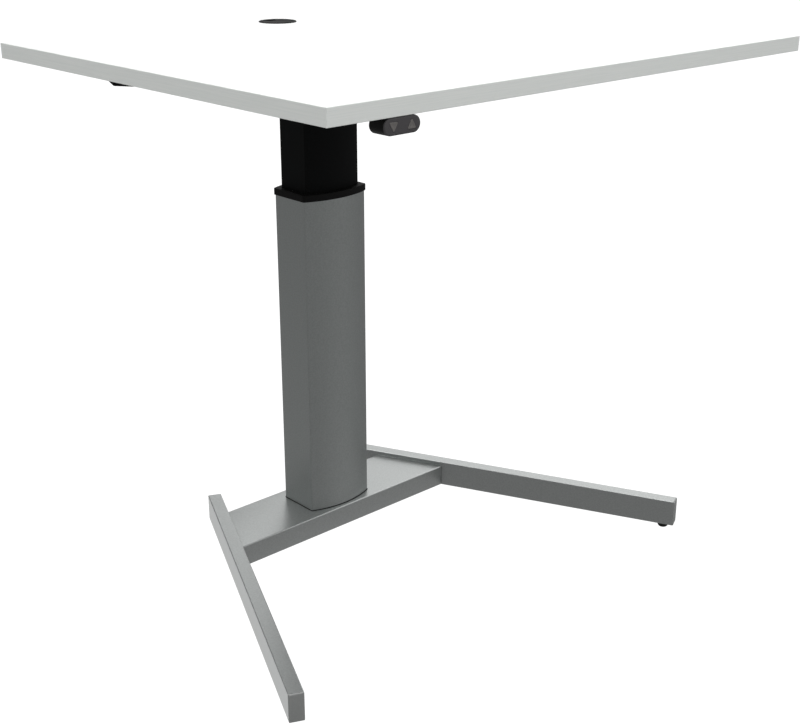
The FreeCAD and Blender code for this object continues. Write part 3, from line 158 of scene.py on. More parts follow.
def moulded_plastic(name, low, high, rough, spark=1.2, sheen_level=0.5):
    """Injection moulded plastic from a spark-eroded mould: an even fine grain that dulls it."""
    # The real pits are about 0.2 mm wide, and are drawn coarser so that they show.
    finish, tree, surface, place = new_finish(name, IOR=1.53, Specular_IOR_Level=sheen_level)
    pits = grain(tree, place, spark)
    tint(tree, surface, pits, low, high)
    gloss(tree, surface, pits, rough - 0.05, rough + 0.05)
    relief(tree, surface, pits, 0.04, strength=0.4)
    return finish


def moulded_rubber(name, low, high):
    """Moulded rubber: almost black, dull, with a dusty bloom over its pores."""
    # The real pores are about 0.2 mm wide, and are drawn coarser so that they show.
    finish, tree, surface, place = new_finish(name, IOR=1.5, Specular_IOR_Level=0.35)
    pores = grain(tree, place, 0.9, detail=3.0)
    tint(tree, surface, grain(tree, place, 6.0, detail=4.0), low, high)
    gloss(tree, surface, pores, 0.68, 0.82)
    relief(tree, surface, pores, 0.05, strength=0.4)
    return finish


def chipboard(name):
    """Pressed chipboard: pale flakes of wood, 2 to 4 mm long, lying flat in darker glue."""
    finish, tree, surface, place = new_finish(name, IOR=1.45)
    flat = add_node(tree, "ShaderNodeMapping", {"Vector": place, "Scale": (1, 1, 3)}).outputs[0]
    flakes = add_node(tree, "ShaderNodeTexVoronoi", {"Vector": flat, "Scale": per_metre(3.0)})
    tint(tree, surface, flakes.outputs["Distance"], "#D8BE8E", "#8A6A3E", span=(0.2, 0.8))
    gloss(tree, surface, flakes.outputs["Distance"], 0.7, 0.9)
    relief(tree, surface, flakes.outputs["Distance"], 0.2, strength=0.5)
    return finish


def bare_steel(name, low, high, rough, grain_mm, stretch=None):
    """Turned, ground or plated steel: bright, with the fine lines or clouds of its making."""
    finish, tree, surface, place = new_finish(name, Metallic=1.0)
    marks = grain(tree, place, grain_mm, detail=3.0, stretch=stretch)
    tint(tree, surface, marks, low, high)
    gloss(tree, surface, marks, rough - 0.06, rough + 0.08)
    relief(tree, surface, marks, 0.02, strength=0.3)
    return finish


def cast_aluminium(name):
    """Die-cast aluminium: pale grey with a soft, slightly wavy skin."""
    finish, tree, surface, place = new_finish(name, Metallic=1.0)
    skin = grain(tree, place, 3.0, detail=4.0)
    tint(tree, surface, skin, "#9C9EA1", "#B4B6B8")
    gloss(tree, surface, skin, 0.38, 0.56)
    relief(tree, surface, skin, 0.12, strength=0.5)
    return finish


def solder_mask(name):
    """Circuit board lacquer: glossy green that shows the copper tracks under it."""
    # The real tracks are 1.27 mm apart, and are drawn eight times as coarse so that they show.
    finish, tree, surface, place = new_finish(name, IOR=1.5, Coat_Weight=0.4, Coat_Roughness=0.1)
    tracks = add_node(tree, "ShaderNodeTexBrick", {"Vector": place, "Scale": per_metre(1.27 * 8),
                                                   "Mortar Size": 0.03}).outputs["Fac"]
    tint(tree, surface, tracks, "#14502F", "#2C7A4A", span=(0, 1))
    gloss(tree, surface, tracks, 0.25, 0.35)
    relief(tree, surface, tracks, 0.03, strength=0.5)
    return finish


# Scales that draw a grain out along one axis, or into rings around an upright one.
ALONG_X, ALONG_Y, RINGED = (0.02, 1, 1), (1, 0.02, 1), (1, 1, 12)
EDGING_SHADES = ("#EFF3F0", "#F4F7F4")

FINISHES = {
    "white_laminate": melamine_laminate("melamine_laminate_white", "#F2F3F2", "#F6F7F6"),
    "grey_edge_band": extruded_edging("abs_edging_along_x", *EDGING_SHADES, ALONG_X),
    "particle_board": chipboard("chipboard"),
    "silver_powder_coat": powder_coat("silver_powder_coat", "#B9BCBB", "#C3C6C5",
                                      metallic=0.9, rough=0.34),
    # The column's copy of the legs' silver paint is a shade darker: painted shade, not a paint of
    # its own.
    "grey_powder_coat": powder_coat("silver_powder_coat_column_painted_shade", "#B0B4B3", "#BABEBD",
                                    metallic=0.9, rough=0.38),
    "black_powder_coat": powder_coat("black_powder_coat", "#060707", "#0B0C0C",
                                     metallic=0.0, rough=0.6, sheen_level=0.12),
    "black_abs": moulded_plastic("abs_black", "#0B0B0B", "#121212", rough=0.6, sheen_level=0.15),
    "grommet_grey": moulded_plastic("abs_graphite", "#222222", "#2B2B2B",
                                    rough=0.7, sheen_level=0.1),
    "face_grey": moulded_plastic("abs_handset_face", "#454345", "#4B494B", rough=0.55),
    "key_grey": moulded_plastic("abs_key_grey", "#696664", "#716E6C", rough=0.5, spark=0.8),
    "black_rubber": moulded_rubber("rubber_black", "#181818", "#232322"),
    "zinc_plated_steel": bare_steel("zinc_plated_steel", "#AEB2B8", "#C9CCCF",
                                    rough=0.32, grain_mm=5.0),
    "black_oxide_steel": bare_steel("black_oxide_steel", "#26272A", "#35363A",
                                    rough=0.38, grain_mm=1.2),
    "ground_steel": bare_steel("ground_steel", "#A3A5A8", "#BFC1C3",
                               rough=0.24, grain_mm=0.8, stretch=RINGED),
    "white_acetal": moulded_plastic("acetal_white", "#E2E1DA", "#EBEAE4", rough=0.42),
    "die_cast_aluminium": cast_aluminium("die_cast_aluminium"),
    "green_circuit_board": solder_mask("solder_mask_green"),
}
EDGING_ALONG_Y = extruded_edging("abs_edging_along_y", *EDGING_SHADES, ALONG_Y)
CAP_FINISH = moulded_plastic("abs_silver_grey", "#8B8D8C", "#939594", rough=0.5)


def dress_frame():
    """Give every part of the frame the finish of its own material slot."""
    for name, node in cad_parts.items():
        side_band = name in ("left_edge_band", "right_edge_band")
        for holder in node.material_slots:
            holder.material = EDGING_ALONG_Y if side_band else FINISHES[holder.material.name]


dress_frame()

# ------------------------------------------------------------------ shapes

SHARP_FROM = math.radians(32)
SAME_POINT = 1e-6
QUARTER = [math.radians(angle) for angle in (0, 15, 30, 45, 60, 75, 90)]
# The sides of a small round piece, and of one that is seen close.
ROUND_STEPS, SMOOTH_STEPS = 32, 96


def as_object(name, shape):
    """A plain object made from a mesh in progress."""
    mesh = bpy.data.meshes.new(name)
    shape.to_mesh(mesh)
    shape.free()
    holder = bpy.data.objects.new(name, mesh)
    bpy.context.scene.collection.objects.link(holder)
    return holder


def plain_mesh(holder):
    """The mesh that an object's modifiers give; the object itself is thrown away."""
    graph = bpy.context.evaluated_depsgraph_get()
    mesh = bpy.data.meshes.new_from_object(holder.evaluated_get(graph), depsgraph=graph)
    bpy.data.objects.remove(holder)
    return mesh


def add_piece(name, mesh, body, slot, *replaced, finish=None):
    """A finished piece, smooth but for sharp edges, that rides on a body in place of CAD nodes."""
    mesh.name = name
    mesh.shade_smooth()
    mesh.set_sharp_from_angle(angle=SHARP_FROM)
    mesh.materials.clear()
    mesh.materials.append(finish or FINISHES[slot])
    piece = bpy.data.objects.new(name, mesh)
    bpy.context.scene.collection.objects.link(piece)
    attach(piece, body)
    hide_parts(*replaced)


def closed(shape):
    """Merge double points and turn every face outwards."""
    bmesh.ops.remove_doubles(shape, verts=shape.verts, dist=SAME_POINT)
    bmesh.ops.dissolve_degenerate(shape, edges=shape.edges, dist=SAME_POINT)
    bmesh.ops.recalc_face_normals(shape, faces=shape.faces)
    return shape


def as_mesh(shape):
    """A mesh in progress, closed and made a plain mesh."""
    mesh = bpy.data.meshes.new("piece")
    closed(shape).to_mesh(mesh)
    shape.free()
    return mesh


def combined(shape, others, how="DIFFERENCE"):
    """A solid with other solids taken out of it, or joined to it."""
    tool = as_object("others", closed(others))
    base = as_object("base", closed(shape))
    step = base.modifiers.new("step", "BOOLEAN")
    step.operation, step.solver, step.object = how, "EXACT", tool
    mesh = plain_mesh(base)
    bpy.data.objects.remove(tool)
    return mesh


def eased(corners, steps=6):
    """A closed outline with rounded corners, each given as x, y and radius in millimetres."""
    outline = []
    for number, (x, y, radius) in enumerate(corners):
        here = Vector((x, y))
        if radius <= 0:
            outline.append(here)
            continue
        before = (Vector(corners[number - 1][:2]) - here).normalized()
        after = (Vector(corners[(number + 1) % len(corners)][:2]) - here).normalized()
        half = before.angle(after) / 2
        middle = here + (before + after).normalized() * radius / math.sin(half)
        start = here + before * radius / math.tan(half) - middle
        end = here + after * radius / math.tan(half) - middle
        outline += [middle + start.lerp(end, step / steps).normalized() * radius
                    for step in range(steps + 1)]
    return outline


def rounded_box(half_width, half_height, radius, steps=6):
    """A rectangle about the origin with rounded corners."""
    return eased([(half_width, half_height, radius), (-half_width, half_height, radius),
                  (-half_width, -half_height, radius), (half_width, -half_height, radius)], steps)


def rounded_edge(radius):
    """The insets and depths, in millimetres, of rings that round an edge off into a face."""
    return [(radius * (1 - math.cos(a)), radius * (1 - math.sin(a))) for a in QUARTER]


def bridge(shape, near, far):
    """Faces between two rings of points; a ring that shrank to one point gives triangles."""
    count = len(near)
    for here in range(count):
        there = (here + 1) % count
        corners = []
        for point in (near[here], near[there], far[there], far[here]):
            if point not in corners:
                corners.append(point)
        shape.faces.new(corners)


def loft(shape, rings, ends=(True, True)):
    """Join closed outlines one after another; each end may be capped with one flat face."""
    rows = [[shape.verts.new(point) for point in ring] for ring in rings]
    for near, far in zip(rows, rows[1:]):
        bridge(shape, near, far)
    for row, capped in ((rows[0], ends[0]), (rows[-1], ends[1])):
        if capped:
            shape.faces.new(row)
    return rows


def cup(shape, outer, inner):
    """A hollow form open at its first ring: an outer and an inner skin joined by a rim."""
    outside = loft(shape, outer, (False, True))
    inside = loft(shape, inner, (False, True))
    bridge(shape, outside[0], inside[0])


def turned(shape, outline, centre, steps, whole=True):
    """Spin radius and height, in millimetres, about an upright axis; whole closes the outline."""
    rows = []
    for radius, height in outline:
        level = centre + Vector((0, 0, height * MM))
        if radius <= 0:
            rows.append([shape.verts.new(level)] * steps)
            continue
        spokes = [2 * math.pi * step / steps for step in range(steps)]
        rows.append([shape.verts.new(level + Vector((math.cos(a), math.sin(a), 0)) * radius * MM)
                     for a in spokes])
    for near, far in zip(rows, rows[1:] + rows[:1] if whole else rows[1:]):
        bridge(shape, near, far)


def peg(shape, radius, start, end, steps=ROUND_STEPS):
    """A plain round solid between two points, used to cut holes; radius in millimetres."""
    along = (end - start).normalized()
    side = along.orthogonal().normalized()
    across = along.cross(side)
    spokes = [2 * math.pi * step / steps for step in range(steps)]
    ring = [(side * math.cos(a) + across * math.sin(a)) * radius * MM for a in spokes]
    loft(shape, [[start + point for point in ring], [end + point for point in ring]])


def brick(shape, low, high):
    """A plain block between two corners."""
    ring = [(low.x, low.y), (high.x, low.y), (high.x, high.y), (low.x, high.y)]
    loft(shape, [[Vector((x, y, z)) for x, y in ring] for z in (low.z, high.z)])


def solids_of(node):
    """The box of each separate solid of a CAD node, in order of place."""
    shape = bmesh.new()
    shape.from_mesh(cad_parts[node].data)
    bmesh.ops.remove_doubles(shape, verts=shape.verts, dist=SAME_POINT)
    shape.verts.ensure_lookup_table()
    seen, boxes = set(), []
    for first in shape.verts:
        if first.index in seen:
            continue
        seen.add(first.index)
        waiting, members = [first], []
        while waiting:
            point = waiting.pop()
            members.append(point.co.copy())
            for edge in point.link_edges:
                other = edge.other_vert(point)
                if other.index not in seen:
                    seen.add(other.index)
                    waiting.append(other)
        boxes.append(tuple(Vector([pick(co[i] for co in members) for i in range(3)])
                           for pick in (min, max)))
    shape.free()
    return sorted(boxes, key=lambda box: tuple(round(value, 5) for value in box[0]))


def middle_of(box):
    """The centre of a box given by two corners."""
    return (box[0] + box[1]) / 2


# ------------------------------------------------------------------ geometry trees


def new_tree(name, *sockets):
    """An empty geometry tree with named inputs, given as pairs of name and socket kind."""
    tree = bpy.data.node_groups.new(name, "GeometryNodeTree")
    tree.interface.new_socket("Geometry", in_out="INPUT", socket_type="NodeSocketGeometry")
    for label, kind in sockets:
        tree.interface.new_socket(label, in_out="INPUT", socket_type=f"NodeSocket{kind}")
    tree.interface.new_socket("Geometry", in_out="OUTPUT", socket_type="NodeSocketGeometry")
    return tree, add_node(tree, "NodeGroupInput").outputs


def close_tree(tree, given, geometry):
    """End a tree the way every tree here ends: instances made real, and the finish set."""
    real = add_node(tree, "GeometryNodeRealizeInstances", {"Geometry": geometry})
    done = add_node(tree, "GeometryNodeSetMaterial", {"Geometry": real.outputs[0],
                                                      "Material": given["Finish"]})
    add_node(tree, "NodeGroupOutput", {"Geometry": done.outputs[0]})
    return tree


def run_tree(tree, shape, values):
    """Run a tree on a mesh in progress with its inputs set, and keep the result as a plain mesh."""
    holder = as_object("tree_run", shape)
    modifier = holder.modifiers.new("tree", "NODES")
    modifier.node_group = tree
    for item in tree.interface.items_tree:
        if item.in_out == "INPUT" and item.name in values:
            modifier[item.identifier] = values[item.name]
    return plain_mesh(holder)


def threaded_tree():
    """A turned blank with a helical ridge round it, set on every point of the mesh it is given."""
    tree, given = new_tree("threaded_fasteners", ("Blank", "Object"), ("Core Radius", "Float"),
                           ("Ridge", "Float"), ("Pitch", "Float"), ("Start", "Float"),
                           ("Length", "Float"), ("Steps", "Int"), ("Finish", "Material"))
    blank = add_node(tree, "GeometryNodeObjectInfo", {"Object": given["Blank"]})
    turns = add_node(tree, "ShaderNodeMath", {0: given["Length"], 1: given["Pitch"]},
                     operation="DIVIDE")
    helix = add_node(tree, "GeometryNodeCurveSpiral", {
        "Resolution": given["Steps"], "Rotations": turns.outputs[0], "Height": given["Length"],
        "Start Radius": given["Core Radius"], "End Radius": given["Core Radius"]})
    section = add_node(tree, "GeometryNodeCurvePrimitiveCircle", {"Resolution": 4,
                                                                  "Radius": given["Ridge"]})
    ridge = add_node(tree, "GeometryNodeCurveToMesh", {
        "Curve": helix.outputs[0], "Profile Curve": section.outputs[0], "Fill Caps": True})
    rise = add_node(tree, "ShaderNodeCombineXYZ", {"Z": given["Start"]})
    lifted = add_node(tree, "GeometryNodeTransform", {"Geometry": ridge.outputs[0],
                                                      "Translation": rise.outputs[0]})
    both = add_node(tree, "GeometryNodeJoinGeometry", {0: blank.outputs["Geometry"]})
    tree.links.new(lifted.outputs[0], both.inputs[0])
    spread = add_node(tree, "GeometryNodeInstanceOnPoints", {"Points": given["Geometry"],
                                                             "Instance": both.outputs[0]})
    return close_tree(tree, given, spread.outputs[0])


def slotted_tree():
    """Two like rows of upright slots, one Across from the other, cut through the mesh given."""
    tree, given = new_tree("vent_slots", ("Slots", "Int"), ("Spacing", "Float"), ("Slot", "Vector"),
                           ("First", "Vector"), ("Across", "Vector"), ("Finish", "Material"))
    step = add_node(tree, "ShaderNodeCombineXYZ", {"X": given["Spacing"]})
    row = add_node(tree, "GeometryNodeMeshLine", {"Count": given["Slots"],
                                                  "Start Location": given["First"],
                                                  "Offset": step.outputs[0]})
    second = add_node(tree, "GeometryNodeTransform", {"Geometry": row.outputs[0],
                                                      "Translation": given["Across"]})
    both = add_node(tree, "GeometryNodeJoinGeometry", {0: row.outputs[0]})
    tree.links.new(second.outputs[0], both.inputs[0])
    block = add_node(tree, "GeometryNodeMeshCube", {"Size": given["Slot"]})
    cutters = add_node(tree, "GeometryNodeInstanceOnPoints", {"Points": both.outputs[0],
                                                              "Instance": block.outputs[0]})
    real = add_node(tree, "GeometryNodeRealizeInstances", {"Geometry": cutters.outputs[0]})
    cut = add_node(tree, "GeometryNodeMeshBoolean", {"Mesh 1": given["Geometry"],
                                                     "Mesh 2": real.outputs[0]},
                   operation="DIFFERENCE")
    return close_tree(tree, given, cut.outputs["Mesh"])


THREADED, SLOTTED = threaded_tree(), slotted_tree()


def threaded(places, blank, slot, core, ridge, pitch, start, length, steps=16):
    """Blanks with threads at several places, as one plain mesh; sizes in millimetres."""
    points = bmesh.new()
    for place in places:
        points.verts.new(place)
    maker = as_object("blank", closed(blank))
    mesh = run_tree(THREADED, points, {
        "Blank": maker, "Core Radius": core * MM, "Ridge": ridge * MM, "Pitch": pitch * MM,
        "Start": start * MM, "Length": length * MM, "Steps": steps, "Finish": FINISHES[slot]})
    bpy.data.objects.remove(maker)
    return mesh


# ------------------------------------------------------------------ screws

CROSS_ARM_SHARE, CROSS_WIDTH_SHARE, CROSS_DEPTH_SHARE = 0.52, 0.16, 0.6
CORE_SHARE, NECK_SHARE, CROWN_SHARE, PITCH_SHARE = 0.62, 0.9, 0.7, 0.45
SCREW_TAPER, BARE_NECK, BARE_TIP, HEAD_RIM = 2, 3, 3.5, 0.2
# Diameter, head diameter and head height.
DESK_SCREW, SMALL_SCREW = (5, 10, 3), (4, 7.5, 2.4)


def pan_head_blank(diameter, head_diameter, head_height, length):
    """A chipboard screw without its thread: a domed head with a cross recess, a shank, a tip."""
    head, core = head_diameter / 2, diameter / 2 * CORE_SHARE
    dome = eased([(0, 0, 0), (head, 0, head_height * CROWN_SHARE), (head, head_height, HEAD_RIM),
                  (diameter / 2 * NECK_SHARE, head_height, 0), (core, head_height + SCREW_TAPER, 0),
                  (core, length + head_height - diameter, 0), (0, length + head_height, 0)])
    shape, cutters = bmesh.new(), bmesh.new()
    turned(shape, dome, Vector(), ROUND_STEPS, whole=False)
    long, wide = head * CROSS_ARM_SHARE * MM, head * CROSS_WIDTH_SHARE * MM
    for x, y in ((long, wide), (wide, long)):
        brick(cutters, Vector((-x, -y, -MM)),
              Vector((x, y, head_height * CROSS_DEPTH_SHARE * MM)))
        recessed = combined(shape, cutters)
        shape, cutters = bmesh.new(), bmesh.new()
        shape.from_mesh(recessed)
    return shape


def add_wood_screws(name, body, slot, node, diameter, head_diameter, head_height):
    """Chipboard screws in the places of a node's solids, with a coarse thread on their shanks."""
    boxes = solids_of(node)
    length = (boxes[0][1].z - boxes[0][0].z) / MM - head_height
    blank = pan_head_blank(diameter, head_diameter, head_height, length)
    core = diameter / 2 * CORE_SHARE
    places = [Vector((*middle_of(box).xy, box[0].z)) for box in boxes]
    mesh = threaded(places, blank, slot, core, diameter / 2 - core, diameter * PITCH_SHARE,
                    head_height + BARE_NECK, length - diameter - BARE_TIP)
    add_piece(name, mesh, body, slot, node)


# ------------------------------------------------------------------ cross beam and legs

LEG_SPLAY = math.radians(25)
LEG_HALF_WIDTH, LEG_HALF_HEIGHT, LEG_WALL, LEG_CORNER = 12.5, 25.0, 2.0, 1.6
FOOT_FROM_END, CAP_THICKNESS, CAP_ROUNDING, CAP_PLUG, CAP_GAP = 22.0, 3.0, 2.2, 10.0, 0.1
BEAM_WALL, BEAM_FOLD, SMALLEST_CORNER = 3.0, 2.5, 0.3
BOLT_HOLE_RADIUS, SPINDLE_PASSAGE_RADIUS, DRILL_REACH = 4.15, 12.5, 20.0


def beam_ring(box, inset, z):
    """The beam's outline at one height: straight before and behind, its ends cut along the legs."""
    low, high = box
    middle, half_depth = (low.y + high.y) / 2, (high.y - low.y) / 2 / MM
    slant = math.tan(LEG_SPLAY)
    corners = []
    for side, back in ((1, 1), (-1, 1), (-1, -1), (1, -1)):
        v = back * (half_depth - inset)
        half_length = high.x / MM - (v + half_depth) * slant - inset / math.cos(LEG_SPLAY)
        corners.append((side * half_length, v, max(BEAM_FOLD - inset, SMALLEST_CORNER)))
    return [Vector((u * MM, middle + v * MM, z)) for u, v in eased(corners)]


def add_beam():
    """The cross beam: a pan folded from 3 mm sheet, open below, with soft folds and bolt holes."""
    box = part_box("base_beam")
    low, high = box
    outer = [(0, low.z)] + [(inset, high.z - depth * MM)
                            for inset, depth in rounded_edge(BEAM_FOLD)]
    inner = [(BEAM_WALL, low.z), (BEAM_WALL, high.z - BEAM_WALL * MM)]
    pan, holes = bmesh.new(), bmesh.new()
    cup(pan, [beam_ring(box, *ring) for ring in outer], [beam_ring(box, *ring) for ring in inner])
    up = Vector((0, 0, DRILL_REACH * MM))
    for bolt in solids_of("column_bolts"):
        spot = Vector((*middle_of(bolt).xy, high.z))
        peg(holes, BOLT_HOLE_RADIUS, spot - up, spot + up)
    spot = Vector((*middle_of(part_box("outer_tube")).xy, high.z))
    peg(holes, SPINDLE_PASSAGE_RADIUS, spot - up, spot + up, steps=64)
    for bolt in solids_of("leg_bolts"):
        spot = middle_of(bolt)
        outward = Vector((math.cos(LEG_SPLAY) * math.copysign(1, spot.x), math.sin(LEG_SPLAY), 0))
        reach = outward * DRILL_REACH * MM
        peg(holes, BOLT_HOLE_RADIUS, spot - reach, spot + reach)
    add_piece("base_beam_folded_pan", combined(pan, holes), "base", "silver_powder_coat",
              "base_beam")


def add_end_cap(corner):
    """A pressed-in cap at one end of a leg: a plate with a soft rim, and the plug that holds it."""
    node = f"{corner}_end_cap"
    side, ahead = (1 if "right" in corner else -1), (1 if "front" in corner else -1)
    outward = Vector((side * math.sin(LEG_SPLAY), -math.cos(LEG_SPLAY), 0)) * ahead
    across = outward.cross(Vector((0, 0, 1)))
    foot, box = middle_of(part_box(f"{corner}_foot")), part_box(node)
    face = Vector((*foot.xy, middle_of(box).z)) + outward * FOOT_FROM_END * MM
    plug = LEG_WALL + CAP_GAP
    steps = [(inset, depth) for depth, inset in rounded_edge(CAP_ROUNDING)]
    steps += [(0, CAP_THICKNESS), (plug, CAP_THICKNESS), (plug, CAP_THICKNESS + CAP_PLUG)]
    cap = bmesh.new()
    loft(cap, [[face - outward * depth * MM + across * u * MM + Vector((0, 0, v * MM))
                for u, v in rounded_box(LEG_HALF_WIDTH - inset, LEG_HALF_HEIGHT - inset,
                                        max(LEG_CORNER - inset, SMALLEST_CORNER))]
               for inset, depth in steps])
    add_piece(f"{node}_soft_rimmed", as_mesh(cap), "base", "silver_powder_coat", node,
              finish=CAP_FINISH)


# ------------------------------------------------------------------ levelling feet

FOOT_PITCH, FOOT_CORE, FOOT_RIDGE = 1.25, 3.4, 0.58
STUD_SUNK, STUD_POINT, STUD_POINT_SLOPE = 1, 1, 0.9
STUD_BARE_FOOT, STUD_BARE_ENDS = 0.6, 2
PAD_TOP, PAD_HOLLOW, SOLE_ROUNDING, CROWN_ROUNDING, PAD_NECK = 8.5, 0.6, 4.5, 1.2, 3.9
HOLLOW_SHARE, TREAD_SHARE = 0.55, 0.62
FLUTES, STEPS_A_FLUTE, FLUTES_FROM, FLUTES_UP_TO = 28, 4, 3.4, 6.6
FLUTED_SHARE, FLUTE_DEPTH_SHARE = 0.97, 0.05


def add_foot(corner):
    """A levelling foot: a fluted pad with a domed rim, and a threaded stud up into the leg."""
    node = f"{corner}_foot"
    low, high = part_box(node)
    centre = Vector((*middle_of((low, high)).xy, low.z))
    radius, pad = (high.x - low.x) / 2 / MM, bmesh.new()
    profile = [(0, PAD_HOLLOW, 0), (radius * HOLLOW_SHARE, PAD_HOLLOW, 0),
               (radius * TREAD_SHARE, 0, 0), (radius, 0, SOLE_ROUNDING),
               (radius, PAD_TOP, CROWN_ROUNDING), (PAD_NECK, PAD_TOP, 0), (0, PAD_TOP, 0)]
    turned(pad, eased(profile), centre, FLUTES * STEPS_A_FLUTE, whole=False)
    for point in pad.verts:
        arm, height = (point.co - centre).xy, point.co.z - centre.z
        at_rim = arm.length > radius * FLUTED_SHARE * MM
        if at_rim and FLUTES_FROM * MM < height < FLUTES_UP_TO * MM:
            wave = 0.5 - 0.5 * math.cos(FLUTES * math.atan2(arm.y, arm.x))
            point.co.xy = centre.xy + arm * (1 - FLUTE_DEPTH_SHARE * wave)
    add_piece(f"{node}_pad", as_mesh(pad), node, "black_rubber", node)

    base, top = PAD_TOP - STUD_SUNK, (high.z - low.z) / MM
    stud = bmesh.new()
    turned(stud, [(0, base), (FOOT_CORE, base), (FOOT_CORE, top - STUD_POINT),
                  (FOOT_CORE - STUD_POINT_SLOPE, top), (0, top)], Vector(), ROUND_STEPS,
           whole=False)
    mesh = threaded([centre], stud, "zinc_plated_steel", FOOT_CORE, FOOT_RIDGE, FOOT_PITCH,
                    PAD_TOP + STUD_BARE_FOOT, top - PAD_TOP - STUD_BARE_ENDS)
    add_piece(f"{node}_stud", mesh, node, "zinc_plated_steel", node)


# ------------------------------------------------------------------ cable grommet

FLANGE_RADIUS, LINER_WALL, LINER_INSIDE, LINER_FOOT = 33.5, 2.0, 27.9, -20
LEDGE, LEDGE_FOOT, LEDGE_TOP = 2.0, -5.1, -3.5
FLANGE_ROUNDING, MOUTH_ROUNDING, FOOT_ROUNDING, LEDGE_ROUNDING = 1.3, 0.5, 0.8, 0.4
CAP_RADIUS, CAP_RISE, CAP_SEAT, CAP_INSIDE, CAP_CEILING = 27.6, 1.0, -3.4, 25, -1.2
# The cap's outline: radius, height above the desk top and rounding of each corner.
CAP_PROFILE = [(0, 0.6, 0), (20, 0.75, 0), (21, CAP_RISE, 0.6), (CAP_RADIUS, CAP_RISE, 0.9),
               (CAP_RADIUS, CAP_SEAT, 0), (CAP_INSIDE, CAP_SEAT, 0),
               (CAP_INSIDE, CAP_CEILING, 0.8), (0, CAP_CEILING, 0)]
NOTCH_HALF_WIDTH, NOTCH_DEPTH, NOTCH_CORNER, NOTCH_REACH = 9.0, 14.0, 2.5, 5
NOTCH_HEIGHTS = (-8, 8)


def grommet_centre():
    """Where the grommet's axis meets the desk's top face."""
    liner = middle_of(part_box("grommet_liner"))
    return Vector((liner.x, liner.y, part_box("top_laminate")[1].z))


def add_grommet():
    """A moulded liner with a rolled flange, and a shallow dished cap with its cable notch."""
    centre = grommet_centre()
    outside, ledge = LINER_INSIDE + LINER_WALL, LINER_INSIDE - LEDGE
    top = (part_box("grommet_liner")[1].z - centre.z) / MM
    profile = [(LINER_INSIDE, top, MOUTH_ROUNDING), (FLANGE_RADIUS, top, FLANGE_ROUNDING),
               (FLANGE_RADIUS, 0, 0), (outside, 0, 0), (outside, LINER_FOOT, FOOT_ROUNDING),
               (LINER_INSIDE, LINER_FOOT, FOOT_ROUNDING), (LINER_INSIDE, LEDGE_FOOT, 0),
               (ledge, LEDGE_FOOT, LEDGE_ROUNDING), (ledge, LEDGE_TOP, LEDGE_ROUNDING),
               (LINER_INSIDE, LEDGE_TOP, 0)]
    liner = bmesh.new()
    turned(liner, eased(profile), centre, SMOOTH_STEPS)
    add_piece("grommet_liner_moulded", as_mesh(liner), "lift", "grommet_grey", "grommet_liner")

    cap, notch = bmesh.new(), bmesh.new()
    turned(cap, eased(CAP_PROFILE), centre, SMOOTH_STEPS, whole=False)
    start, end = CAP_RADIUS - NOTCH_DEPTH, CAP_RADIUS + NOTCH_REACH
    outline = eased([(-NOTCH_HALF_WIDTH, start, NOTCH_CORNER),
                     (NOTCH_HALF_WIDTH, start, NOTCH_CORNER),
                     (NOTCH_HALF_WIDTH, end, 0), (-NOTCH_HALF_WIDTH, end, 0)])
    loft(notch, [[centre + Vector((x * MM, y * MM, z * MM)) for x, y in outline]
                 for z in NOTCH_HEIGHTS])
    add_piece("grommet_cap_moulded", combined(cap, notch), "grommet_cap", "grommet_grey",
              "grommet_cap")


# ------------------------------------------------------------------ handset

HANDSET_WALL, HANDSET_BACK_ROUNDING, FACE_ROUNDING, INNER_BEVEL = 2.0, 1.5, 1.6, 2
SEAM, SEAM_END_SHARE, SEAT_HEIGHT, SEAT_RADIUS = 0.4, 1.5, 1.5, 5.0
ACCESS_RADIUS, PILOT_RADIUS, HANDSET_GLAND_RADIUS, CUTTER_REACH = 4.25, 2.1, 5.0, 5
# The ends are round but for this much, which keeps the corners of the outline apart.
END_FLAT, END_STEPS = 0.01, 10
KEY_HALF_WIDTH, KEY_HALF_HEIGHT, KEY_SPAN, KEY_WELL_GAP, KEY_CORNER = 7.5, 6.5, 30.0, 0.3, 1.2
KEY_SHIFT = 0.9
# The rings of a key's dished front: how far outside its outline, and how deep behind its rim.
KEY_FRONT = ((0, 0.35), (-0.1, 0.12), (-0.35, 0), (-1.0, 0), (-1.6, 0.12), (-3.4, 0.3))


def handset_ring(box, inset, y):
    """The handset's outline, flat above and below and round at its ends, at one depth."""
    low, high = box
    half_width, half_height = [(high[i] - low[i]) / 2 / MM - inset for i in (0, 2)]
    centre = middle_of(box)
    return [Vector((centre.x + u * MM, y, centre.z + v * MM))
            for u, v in rounded_box(half_width, half_height, half_height - END_FLAT, END_STEPS)]


def key_outline(grow, up):
    """A key's triangle with soft corners, moved outwards by grow."""
    slope = math.hypot(KEY_HALF_WIDTH, 2 * KEY_HALF_HEIGHT)
    inner_radius = 2 * KEY_HALF_WIDTH * KEY_HALF_HEIGHT / (KEY_HALF_WIDTH + slope)
    share = (inner_radius + grow) / inner_radius
    middle = inner_radius - KEY_HALF_HEIGHT
    corners = [(x * share, middle + (y - middle) * share, KEY_CORNER * share) for x, y in
               ((-KEY_HALF_WIDTH, -KEY_HALF_HEIGHT), (KEY_HALF_WIDTH, -KEY_HALF_HEIGHT),
                (0, KEY_HALF_HEIGHT))]
    flip = 1 if up else -1
    return [Vector((u, flip * (v + KEY_SHIFT))) for u, v in eased(corners)]


def key_ring(centre, grow, up, y):
    """A key's outline at one depth."""
    return [Vector((centre.x + u * MM, y, centre.z + v * MM))
            for u, v in key_outline(grow, up)]


